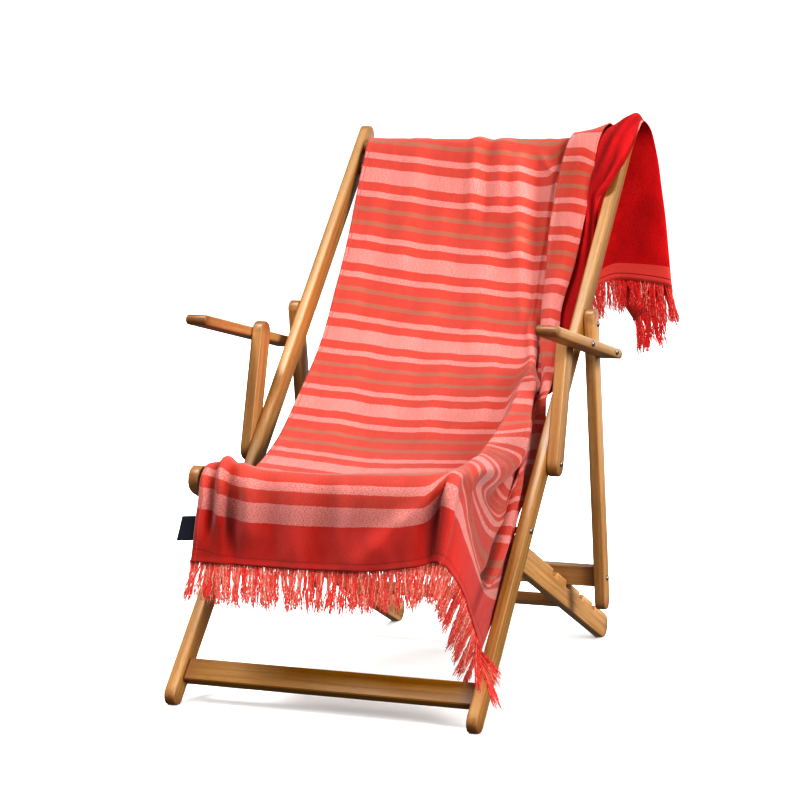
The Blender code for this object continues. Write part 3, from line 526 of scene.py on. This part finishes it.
def oiled_wood():
    """Light oiled hardwood, planed and rounded over: straight grain, short pores, darker cut ends."""
    made, shader, add = finish("oiled_hardwood", Roughness=0.42, Coat_Weight=0.12, Coat_Roughness=0.3)
    grain = add("Attribute", out="Vector", attribute_name="grain")
    reach = add("Attribute", out="Fac", attribute_name="reach")
    # Growth rings show as streaks 3 to 8 mm wide and 300 mm long.
    streak_place = add("Mapping", {0: grain, 3: (3.2, 130.0, 130.0)})
    streak = add("TexNoise", {"Vector": streak_place, "Scale": 1.0, "Detail": 4.0, "Roughness": 0.55,
                              "Distortion": 0.4})
    ground = set_stops(add("ValToRGB", (streak,)),
                       [(0.25, "A27544"), (0.45, "B48653"), (0.6, "C29663"), (0.8, "D0A878")])
    # Pores cut open along the grain are too fine to show: drawn 1 mm wide and 18 mm long.
    pore_place = add("Mapping", {0: grain, 3: (55.0, 1100.0, 1100.0)})
    pore = add("TexNoise", {"Vector": pore_place, "Scale": 1.0, "Detail": 2.0})
    pore_mask = add("MapRange", (pore, 0.56, 0.7, 0.0, 0.5))
    pored = add("Mix", {0: pore_mask, 6: ground, 7: colour("8E5A2C")}, 2, data_type="RGBA")
    cloud = add("TexNoise", {"Vector": grain, "Scale": 5.0, "Detail": 2.0})
    cloud_tone = add("MapRange", (cloud, 0.3, 0.7, 0.86, 1.1))
    toned = add("HueSaturation", {"Value": cloud_tone, "Color": pored})
    # Each board has a tone of its own, partly random and partly painted light and shade, and the darker
    # ones are painted redder as painted shade.
    tone = add("Attribute", out="Fac", attribute_name="tone")
    red = add("MapRange", (tone, 0.5, 1.0, 1.28, 1.0))
    board = add("HueSaturation", {"Saturation": red, "Value": tone, "Color": toned})
    # Cut ends drink more oil: they darken over the last 28 mm.
    start = add("SeparateXYZ", (grain,))
    left = add("Math", (reach, start), operation="SUBTRACT")
    nearest = add("Math", (left, start), operation="MINIMUM")
    end_mask = add("MapRange", (nearest, 0.0, 0.028, 0.75, 0.0))
    ended = add("Mix", {0: end_mask, 6: board, 7: colour("7A4A22")}, 2, data_type="RGBA")
    bump = add("Bump", {"Strength": 0.25, "Distance": 0.0004, "Height": pore})
    connect(shader, Base_Color=ended, Normal=bump)
    return made


def zinc_steel():
    """Zinc-plated steel bolt heads, rolled and tumbled: grey, half-matt, fine wear."""
    made, shader, add = finish("zinc_plated_steel", Metallic=1.0, Roughness=0.38)
    place = add("TexCoord", out="Object")
    wear = add("TexNoise", {"Vector": place, "Scale": 700.0, "Detail": 3.0})
    tone = set_stops(add("ValToRGB", (wear,)), [(0.35, "6E6E6A"), (0.65, "A9A9A4")])
    connect(shader, Base_Color=tone, Roughness=add("MapRange", {0: wear, 3: 0.28, 4: 0.52}))
    return made


def sling_canvas():
    """Unbleached cotton canvas in plain weave: matt, with small flecks."""
    made, shader, add = finish("cotton_canvas_plain_weave", Roughness=0.92)
    cloth = add("UVMap", uv_map="cloth")
    # Threads are 0.9 mm apart, too fine to show: drawn 1.8 mm apart.
    thread_place = add("Mapping", {0: cloth, 3: (550.0, 550.0, 1.0)})
    thread = add("TexChecker", {0: thread_place, "Scale": 1.0}, "Fac")
    fleck = add("TexNoise", {"Vector": cloth, "Scale": 260.0, "Detail": 4.0})
    tone = set_stops(add("ValToRGB", (fleck,)), [(0.3, "C9BC9F"), (0.55, "DCD1B8"), (0.75, "E6DEC9")])
    height = add("Math", (thread, 0.5, fleck), operation="MULTIPLY_ADD")
    bump = add("Bump", {"Strength": 0.5, "Distance": 0.0005, "Height": height})
    connect(shader, Base_Color=tone, Normal=bump)
    return made


def label_satin():
    """Woven satin label, dyed almost black navy: fine cross ribs and a low sheen."""
    made, shader, add = finish("satin_woven_label", Roughness=0.62, Sheen_Weight=0.2)
    place = add("TexCoord", out="Object")
    rib = add("TexWave", {"Vector": place, "Scale": 180.0, "Distortion": 0.6}, "Fac",
              bands_direction="Z")
    tone = set_stops(add("ValToRGB", (rib,)), [(0.0, "0D0E1E"), (1.0, "1B1D34")])
    bump = add("Bump", {"Strength": 0.4, "Distance": 0.0003, "Height": rib})
    connect(shader, Base_Color=tone, Normal=bump)
    return made


# -------- mesh helpers
def add_object(name, data):
    """New object in the scene for a mesh, a light or a camera."""
    made = bpy.data.objects.new(name, data)
    bpy.context.scene.collection.objects.link(made)
    return made


def add_mesh(name, points, faces, material):
    """New mesh object of one material."""
    mesh = bpy.data.meshes.new(name)
    mesh.from_pydata([tuple(p) for p in points], [], faces)
    mesh.materials.append(material)
    return add_object(name, mesh)


def smooth(piece):
    """Shade a piece smooth."""
    piece.data.polygons.foreach_set("use_smooth", [True] * len(piece.data.polygons))
    return piece


def mark_points(piece, name, values):
    """Give each point of a piece a number, or three, that its material reads by name."""
    values = np.asarray(values, float)
    kind, field = ("FLOAT", "value") if values.ndim == 1 else ("FLOAT_VECTOR", "vector")
    piece.data.attributes.new(name, kind, "POINT").data.foreach_set(field, values.ravel())


def flat_places(across, along):
    """The flat cloth's own coordinates of a grid, in metres."""
    return np.stack([across.ravel(), along.ravel()], 1) * MM


def sheet_piece(name, middle, normal, half, places, face, back):
    """Closed sheet, `half` thick on each side of a grid, with one material above and one below. The UV
    map that the materials read holds the flat cloth's coordinates."""
    rows, cols = middle.shape[:2]
    size = rows * cols
    index = np.arange(size).reshape(rows, cols)
    squares = (index[:-1, :-1], index[:-1, 1:], index[1:, 1:], index[1:, :-1])
    upper = np.stack([corner.ravel() for corner in squares], 1)
    lower = upper[:, ::-1] + size
    rim = np.concatenate([index[0, :-1], index[:-1, -1], index[-1, :0:-1], index[:0:-1, 0]])
    ahead = np.roll(rim, -1)
    side = np.stack([ahead, rim, rim + size, ahead + size], 1)
    faces = np.concatenate([upper, lower, side])
    points = np.stack([middle + normal * half, middle - normal * half]).reshape(-1, 3)
    piece = add_mesh(name, placed(points), faces.tolist(), face)
    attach(piece, "root")
    piece.data.materials.append(back)
    which = np.zeros(len(faces), int)
    which[len(upper):len(upper) + len(lower)] = 1
    piece.data.polygons.foreach_set("material_index", which)
    layer = piece.data.uv_layers.new(name="cloth")
    loops = np.zeros(len(piece.data.loops), int)
    piece.data.loops.foreach_get("vertex_index", loops)
    layer.data.foreach_set("uv", np.concatenate([places, places])[loops].ravel())
    return smooth(piece)


# -------- towel
# Grid lines of the towel in runs: from, to, distance from one line to the next.
ACROSS_RUNS = ((0, 112, 3.2), (112, 480, 7.5), (480, 590, 6.0), (590, 660, 3.3),
               (660, CLOTH_WIDE, 7.0))
ALONG_RUNS = ((0, 230, 4.2), (230, 1240, 6.4), (1240, 1420, 4.4), (1420, CLOTH_LONG, 7.0))


def spaced(runs):
    """Grid lines of a table of runs, with the last end included."""
    lines = []
    for start, end, step in runs:
        count = round((end - start) / step)
        lines.append(np.arange(count) * (end - start) / count + start)
    return np.append(np.concatenate(lines), runs[-1][1])


def towel_surface(u_lines, v_lines):
    """Middle surface with its wrinkles, and the unit normals on the striped side."""
    points = towel_middle(u_lines, v_lines)
    u_grid, v_grid = np.meshgrid(u_lines, v_lines)
    points = points + sheet_normals(points) * relief(u_grid, v_grid)[..., None]
    return points, sheet_normals(points)


def make_towel(face, back):
    """The towel, with the height of its folds for the materials' painted shade and highlight."""
    u_lines, v_lines = spaced(ACROSS_RUNS), spaced(ALONG_RUNS)
    points, normal = towel_surface(u_lines, v_lines)
    u, v = np.meshgrid(u_lines, v_lines)
    half = (CLOTH_THICK / 2 + hem_swell(u, v))[..., None]
    places = flat_places(u, v + weft_askew(u, v))
    towel = sheet_piece("towel_cloth", points, normal, half, places, face, back)
    # Painted shade and highlight: these heights darken the cloth's colour in valleys and lighten it on
    # ridges.
    height = relief(u, v)
    for row in SHADE_ROWS:
        height = height + crease(u, v, *row)
    mark_points(towel, "fold", np.tile(height.ravel(), 2))
    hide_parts("towel")
    return towel


# -------- fringe
FRINGE_LONG = 60.0
YARN_RINGS = 15
YARN_THICK = (0.75, 1.05)       # radius of a yarn
YARN_ROOT = 4.0                 # how far up the cloth a yarn starts
YARN_DEEP = 0.9                 # how far yarns lie in front of and behind the hem
YARN_SHARE = (0.8, 1.1)         # a yarn's length next to its tuft's
YARN_SWAY = (1.1, 1.0)          # height of a yarn's waves along the hem and off the cloth
YARN_WAVES = (1.6, 3.6)         # waves on a yarn
WILD_YARNS = (0.14, 1.6)        # share of yarns that stray, and how much more they do
UNDYED_YARNS = (0.12, 0.5)      # share of undyed yarns, and how much paler they are
TONE_VARIES = 0.16
FRONT_TUFTS = 104
REAR_TUFTS = 112
# Matted tufts of the right corner: places along the end, way they point, how it turns from one to the
# next, yarns in each, length. The first lie across the rail, the longest hang down in front of it and
# the last beside it.
CORNER_TUFTS = (
    ((0.962, 0.970, 0.978, 0.986, 0.994), (0.86, -0.38, -0.66), (-0.03, -0.01, -0.04), 14, 76.0),
    ((0.972, 0.979, 0.986, 0.993), (0.50, -0.52, -0.80), (0.03, 0.0, 0.02), 15, 118.0),
    ((0.950, 0.960, 0.970, 0.980, 0.990), (0.14, -0.34, -1.0), (0.02, 0.0, 0.0), 14, 84.0),
)


def end_edge(at_end, places):
    """Points along an end of the cloth, the way it leaves there, the way along it, its face normal."""
    u_lines = np.linspace(0, CLOTH_WIDE, 341)
    v_lines = np.array([CLOTH_LONG - 6.0, CLOTH_LONG] if at_end else [0.0, 6.0])
    both, _ = towel_surface(u_lines, v_lines)
    end, inside = (both[1], both[0]) if at_end else (both[0], both[1])
    out = unit(end - inside)
    along = unit(np.gradient(end, axis=0))
    face = unit(np.cross(along, out) * (-1 if at_end else 1))
    reach = np.append(0.0, np.cumsum(np.linalg.norm(np.diff(end, axis=0), axis=1)))
    at = np.asarray(places) * reach[-1]
    return [np.stack([np.interp(at, reach, rows[:, k]) for k in range(3)], -1)
            for rows in (end, out, along, face)]


class Yarns:
    """Collects yarns as thin three-sided tubes with a tone for each."""

    def __init__(self, seed):
        self.rng = np.random.default_rng(seed)
        self.points, self.faces, self.tones = [], [], []

    def spin(self, path, side, front, radius, tone):
        """One yarn along a path of points: side and front are the two ways across it."""
        base = len(self.points)
        steps = len(path)
        if np.dot(np.cross(side, front), path[-1] - path[0]) < 0:
            front = -front
        travelled = 11.0 * len(self.points) % 7.0      # each yarn's twist starts elsewhere
        for k, spot in enumerate(path):
            if k:
                travelled += float(np.linalg.norm(path[k] - path[k - 1]))
            thin = radius * (1 - 0.4 * (k / (steps - 1)) ** 4)
            for corner in range(3):
                a = 2 * math.pi * corner / 3 + 0.9 * k
                self.points.append(spot + side * thin * math.cos(a) + front * thin * math.sin(a))
                self.tones.append((tone, travelled * MM, 0.0))
        last = len(self.points) - 3
        self.faces += [(a, b, b + 3, a + 3) for ring in range(base, last, 3)
                       for a, b in ((ring, ring + 1), (ring + 1, ring + 2), (ring + 2, ring))]
        self.faces += [(base + 2, base + 1, base), (last, last + 1, last + 2)]

    def tuft(self, root, out, along, face, down, count, length, spread, tone):
        """A loose clump of wavy yarns that bend from the cloth's end towards `down`."""
        rng = self.rng
        down = np.asarray(down, float) / np.linalg.norm(down)
        sway = along * rng.normal(0, 3.0) + face * rng.normal(0, 1.5)
        for _ in range(count):
            place = rng.uniform(-1, 1)
            depth = rng.uniform(-YARN_DEEP, YARN_DEEP)
            own = length * rng.uniform(*YARN_SHARE)
            phase = rng.uniform(0, 2 * math.pi, 2)
            waves = rng.uniform(*YARN_WAVES, 2)
            wild = WILD_YARNS[1] if rng.uniform() < WILD_YARNS[0] else 1.0
            flare = rng.normal(0, 0.8)
            spot = root + along * place * spread * 0.5 + face * depth - out * YARN_ROOT
            path = [spot]
            for k in range(1, YARN_RINGS):
                t = k / (YARN_RINGS - 1)
                bend = min(1.0, t * 2.4)
                heading = out * (1 - bend) + down * bend
                spot = spot + heading / np.linalg.norm(heading) * own / (YARN_RINGS - 1)
                gather = -place * spread * 0.30 * math.sin(math.pi * min(1.0, t * 1.3))
                drift = sway * t * t + along * (gather + flare * 3.0 * t * t * wild)
                for way, size, start, turns in zip((along, face), YARN_SWAY, phase, waves):
                    wave = math.sin(start + turns * 2 * math.pi * t)
                    drift = drift + way * wild * size * t ** 0.6 * wave
                path.append(spot + drift)
            shade = tone + rng.normal(0, TONE_VARIES)
            shade += UNDYED_YARNS[1] if rng.uniform() < UNDYED_YARNS[0] else 0
            self.spin(path, along, face, rng.uniform(*YARN_THICK), float(np.clip(shade, 0, 1)))

    def piece(self, name, material):
        """The collected yarns as one piece."""
        piece = add_mesh(name, placed(self.points), self.faces, material)
        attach(piece, "root")
        mark_points(piece, "yarn", self.tones)
        # Light goes through loose cotton yarns, so they throw no hard shadow on each other.
        piece.visible_shadow = False
        return smooth(piece)


def make_front_fringe(material):
    """Fringe of the end that hangs in front. Its right part leans to the left."""
    yarns = Yarns(3)
    rows = zip(*end_edge(False, (np.arange(FRONT_TUFTS) + 0.5) / FRONT_TUFTS))
    for i, (root, out, along, face) in enumerate(rows):
        right = max(0.0, (i / FRONT_TUFTS - 0.62) / 0.38)
        left = -0.42 * min(1.0, right * 3) + 0.1 * yarns.rng.normal() - 0.35 * max(0.0, 1 - i / 9)
        lean = np.array([left, -0.12 * right, -1.0])
        length = FRINGE_LONG * yarns.rng.uniform(1.12, 1.32)
        tone = 0.26 + 0.38 * yarns.rng.uniform()
        yarns.tuft(root + face * 1.3, out, along, face, lean, 14, length, 12.0, tone)
    for places, way, turn, count, length in CORNER_TUFTS:
        for i, edge in enumerate(zip(*end_edge(False, places))):
            yarns.tuft(*edge, np.array(way) + i * np.array(turn), count, length, 13.0, 0.32)
    return yarns.piece("fringe_front_yarn", material)


def make_rear_fringe(material):
    """Fringe of the end that hangs behind."""
    yarns = Yarns(8)
    for edge in zip(*end_edge(True, (np.arange(REAR_TUFTS) + 0.5) / REAR_TUFTS)):
        lean = np.array([0.10 + 0.12 * yarns.rng.normal(), 0.04, -1.0])
        length = FRINGE_LONG * yarns.rng.uniform(1.0, 1.25)
        # Painted light: these yarns take only the reddest, brightest part of the ramp, so that the end
        # hanging behind looks lit.
        yarns.tuft(*edge, lean, 13, length, 13.0, 0.3 * yarns.rng.uniform())
    return yarns.piece("fringe_rear_yarn", material)


# -------- chair
# Boards of each side: angle from the vertical towards the back, and how far the edges are rounded.
SIDE_BOARDS = {"long_rail": (41.67, 3.0), "seat_rail": (111.18, 3.0), "prop_rail": (168.1, 3.0),
               "arm_strut": (12.65, 3.0), "armrest": (98.5, 3.5)}
# Bars from side to side, and how far the edges are rounded.
CROSS_BARS = {"top_crossbar": 1.0, "sling_rod": 1.0, "front_bar": 1.0, "front_stretcher": 2.5,
              "rear_crossbar": 2.5, "prop_crossbar": 2.5}
# Painted light and shade: how much lighter or darker each named board is painted for how it lies in the
# light; those not named differ by 5% either way at random.
BOARD_PAINTED_LIGHT = {
    "front_stretcher": 0.56, "long_rail_left": 0.9, "long_rail_right": 0.84, "armrest_right": 1.08,
    "prop_rail_left": 1.2, "prop_rail_right": 1.25, "seat_rail_left": 1.35, "seat_rail_right": 1.35,
    "rear_crossbar": 1.25, "prop_crossbar": 1.15,
}


def wood_piece(node, along, edge, material, number):
    """Copy of a board's solid with its edges rounded over and the grain laid along it."""
    made = bmesh.new()
    made.from_mesh(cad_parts[node].data)
    bmesh.ops.remove_doubles(made, verts=made.verts, dist=0.00002)
    bmesh.ops.dissolve_limit(made, angle_limit=math.radians(1.0), verts=made.verts, edges=made.edges)
    sharp = [e for e in made.edges
             if len(e.link_faces) == 2 and e.calc_face_angle() > math.radians(48)]
    bmesh.ops.bevel(made, geom=sharp, offset=edge * MM, segments=3, profile=0.5, affect="EDGES",
                    clamp_overlap=True)
    mesh = bpy.data.meshes.new(node + "_rounded")
    made.to_mesh(mesh)
    made.free()
    mesh.materials.append(material)
    piece = smooth(add_object(node + "_rounded", mesh))
    mesh.set_sharp_from_angle(angle=math.radians(40))
    co = np.array([tuple(v.co) for v in mesh.vertices])
    across = np.cross(along, [1.0, 0.0, 0.0]) if abs(along[0]) < 0.5 else np.array([0.0, 1.0, 0.0])
    third = np.cross(along, across)
    run = co @ along
    # Each board is cut from another place of the tree, so that no two have the same grain.
    mark_points(piece, "grain", np.stack([run - run.min(), co @ across + 0.31 * number,
                                          co @ third + 0.17 * number], 1))
    # Painted light and shade from the table, or else a random tone of the board's own.
    tone = BOARD_PAINTED_LIGHT.get(node, 1.0 + 0.05 * math.sin(2.4 * number))
    mark_points(piece, "tone", np.full(len(co), tone))
    mark_points(piece, "reach", np.full(len(co), run.max() - run.min()))
    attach(piece, "root")
    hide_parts(node)


def make_chair(wood):
    """All boards and bars of the chair."""
    boards = []
    for name, (tilt, edge) in SIDE_BOARDS.items():
        along = np.array([0.0, math.sin(math.radians(tilt)), math.cos(math.radians(tilt))])
        boards += [(name + "_left", along, edge), (name + "_right", along, edge)]
    boards += [(name, np.array([1.0, 0.0, 0.0]), edge) for name, edge in CROSS_BARS.items()]
    for number, (node, along, edge) in enumerate(boards, 1):
        wood_piece(node, along, edge, wood, number)


BOLT_SIDES = 24
BOLT_HEAD = ((0.0, 5.4), (1.0, 5.4), (1.5, 5.0), (2.4, 4.2), (2.9, 3.2), (3.0, 2.6))    # height, radius
SOCKET_RADIUS = 2.1
SOCKET_DEEP = 1.9


def make_bolt(node, metal):
    """Button head with a hexagon socket, on the rail's face where the solid's head is."""
    low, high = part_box(node)
    centre = np.array((low + high) / 2)
    side = 1.0 if centre[0] > 0 else -1.0
    face = low.x if side > 0 else high.x
    turns = [2 * math.pi * i / BOLT_SIDES for i in range(BOLT_SIDES)]
    sixth = math.pi / 6
    hexagon = [SOCKET_RADIUS * math.cos(sixth) / math.cos(a % (math.pi / 3) - sixth) for a in turns]
    rings = [(h, [r] * BOLT_SIDES) for h, r in BOLT_HEAD]
    rings += [(BOLT_HEAD[-1][0], hexagon), (BOLT_HEAD[-1][0] - SOCKET_DEEP, hexagon)]
    points = [(face + side * height * MM, centre[1] + radius * MM * math.cos(a),
               centre[2] + radius * MM * math.sin(a))
              for height, radii in rings for a, radius in zip(turns, radii)]
    last = len(points) - BOLT_SIDES
    faces = [tuple(range(BOLT_SIDES - 1, -1, -1)), tuple(range(last, len(points)))]
    for base in range(0, last, BOLT_SIDES):
        for i in range(BOLT_SIDES):
            a, b = base + i, base + (i + 1) % BOLT_SIDES
            faces.append((a, b, b + BOLT_SIDES, a + BOLT_SIDES))
    if side < 0:
        faces = [f[::-1] for f in faces]
    piece = smooth(add_mesh(node + "_head", points, faces, metal))
    piece.data.set_sharp_from_angle(angle=math.radians(38))
    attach(piece, "root")
    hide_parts(node)


# -------- sling and label
SLING_HALF = 200.0
SLING_THICK = 1.2
SLING_DROP = ((176, 6.2), (235, 3.6), (1150, 3.6), (1288, 10.4))    # v, distance under the towel
SLING_GRID = (41, 150)                                              # lines across and along
LABEL_CORNERS = ((-211.6, 346.0), (-238.0, 344.0), (-248.0, 301.0), (-217.4, 303.0))    # x, z
LABEL_PLACE = -53.8         # y
LABEL_SIZE = (30.0, 43.0)
LABEL_THICK = 0.8
LABEL_GRID = (13, 17)


def make_sling(canvas):
    """Canvas under the towel, stretched from the rod at the top to the front bar."""
    table = np.array(SLING_DROP, float)
    x = np.linspace(-SLING_HALF, SLING_HALF, SLING_GRID[0])
    v = np.linspace(table[0, 0], table[-1, 0], SLING_GRID[1])
    up = middle_up(v)
    path = middle_curve(v) - up * curve(table[:, 0], table[:, 1:], v)
    middle, normal = np.zeros((2, len(v), len(x), 3))
    middle[..., 0] = x
    middle[..., 1:] = path[:, None, :]
    normal[..., 1:] = up[:, None, :]
    places = flat_places(*np.meshgrid(x + SLING_HALF, v))
    piece = sheet_piece("sling_cloth", middle, normal, SLING_THICK / 2, places, canvas, canvas)
    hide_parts("sling_canvas")


def make_label(satin):
    """Bare label, folded once and sewn into the hem: drawn as a slightly bent flap."""
    s, t = np.meshgrid(*(np.linspace(0, 1, count) for count in LABEL_GRID))
    a, b, c, d = (np.array(corner)[:, None, None] for corner in LABEL_CORNERS)
    x, z = (a * (1 - s) + b * s) * (1 - t) + (d * (1 - s) + c * s) * t
    bend = -3.0 * s * s + 0.8 * np.sin(3.0 * t + 1.0) * s
    top = np.stack([x, LABEL_PLACE + bend, z], -1)
    places = flat_places(s * LABEL_SIZE[0], t * LABEL_SIZE[1])
    piece = sheet_piece("label_flap", top, sheet_normals(top), LABEL_THICK / 2, places, satin, satin)
    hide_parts("label")
    return piece


# -------- studio
CAMERA_PLACE = (1534.34, -3723.14, 881.32)      # millimetres, in the chair's own frame
CAMERA_YAW = 20.56
CAMERA_PITCH = -4.68
CAMERA_ROLL = 0.77
LENS = 106.99                                   # on a 36 mm wide picture
FLOOR_HALF = 14.0
SKY_LIGHT = 0.11            # even light from all round, next to the white that is seen behind
# Softboxes: turn from the front to the right, height and spread in degrees, strength.
SOFTBOXES = {"overhead_softbox": (-40, 70, 18, 0.72), "right_softbox": (72, 24, 30, 0.7),
             "front_softbox": (20, 12, 70, 0.30), "rear_softbox": (168, 26, 60, 0.30),
             "floor_softbox": (0, 85, 150, 0.75)}


def make_camera():
    """Camera at the picture's viewing angle."""
    yaw, pitch, roll = (math.radians(a) for a in (CAMERA_YAW, CAMERA_PITCH, CAMERA_ROLL))
    level = Vector((math.cos(yaw), math.sin(yaw), 0.0))
    view = Vector((-level.y * math.cos(pitch), level.x * math.cos(pitch), math.sin(pitch)))
    upright = level.cross(view)
    right = level * math.cos(roll) + upright * math.sin(roll)
    up = upright * math.cos(roll) - level * math.sin(roll)
    data = bpy.data.cameras.new("camera")
    data.sensor_width = 36.0
    data.lens = LENS
    camera = add_object("camera", data)
    camera.matrix_world = Matrix.Translation(Vector(placed([CAMERA_PLACE])[0])) @ Matrix(
        (right, up, -view)).transposed().to_4x4()
    bpy.context.scene.camera = camera


def softbox(name, turn, height, spread, strength):
    """A large even light far away."""
    data = bpy.data.lights.new(name, "SUN")
    data.angle = math.radians(spread)
    data.energy = math.pi * strength
    light = add_object(name, data)
    a = math.radians(turn)
    b = math.radians(height)
    toward = Vector((math.cos(b) * math.sin(a), -math.cos(b) * math.cos(a), math.sin(b)))
    light.rotation_euler = (-toward).to_track_quat("-Z", "Y").to_euler()
    return light


def make_floor():
    """White paper floor. It throws no light back up, as if black cards stood round the chair."""
    paper, shader, add = finish("matt_white_paper", Roughness=0.9)
    place = add("TexCoord", out="Object")
    fibre = add("TexNoise", {"Vector": place, "Scale": 300.0, "Detail": 2.0})
    tone = set_stops(add("ValToRGB", (fibre,)), [(0.3, "F8F8F8"), (0.7, "FBFBFB")])
    connect(shader, Base_Color=tone)
    corners = [(x * FLOOR_HALF, y * FLOOR_HALF, 0) for x, y in ((-1, -1), (1, -1), (1, 1), (-1, 1))]
    floor = add_mesh("floor", corners, [(0, 1, 2, 3)], paper)
    floor.visible_diffuse = False
    floor.visible_glossy = False
    return floor


def make_studio():
    """Floor, white surroundings and softboxes; one softbox lights the floor alone to keep it white."""
    floor = make_floor()
    scene = bpy.context.scene
    scene.world = bpy.data.worlds.new("white_studio")
    scene.world.use_nodes = True
    tree = scene.world.node_tree
    sky = tree.nodes["Background"]
    sky.inputs["Color"].default_value = colour("FFFFFF")
    seen = add_node(tree, "LightPath", out="Is Camera Ray")
    connect(sky, Strength=add_node(tree, "MapRange", {0: seen, 3: SKY_LIGHT, 4: 1.0}))
    boxes = {name: softbox(name, *row) for name, row in SOFTBOXES.items()}
    only_floor = bpy.data.collections.new("lit_by_floor_softbox")
    only_floor.objects.link(floor)
    boxes["floor_softbox"].light_linking.receiver_collection = only_floor
    scene.view_settings.view_transform = "Standard"
    scene.view_settings.look = "High Contrast"


def main():
    make_camera()
    make_studio()
    face = flat_weave()
    back = cut_terry()
    yarn = loose_yarn()
    metal = zinc_steel()
    make_chair(oiled_wood())
    for node in sorted(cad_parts):
        if node.startswith("bolt_"):
            make_bolt(node, metal)
    for side in ("left", "right"):
        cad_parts["pivot_spacer_" + side].material_slots[0].material = metal
    make_sling(sling_canvas())
    towel = make_towel(face, back)
    label = make_label(label_satin())
    front = make_front_fringe(yarn)
    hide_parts("fringe_front")
    rear = make_rear_fringe(yarn)
    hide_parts("fringe_rear")


main()
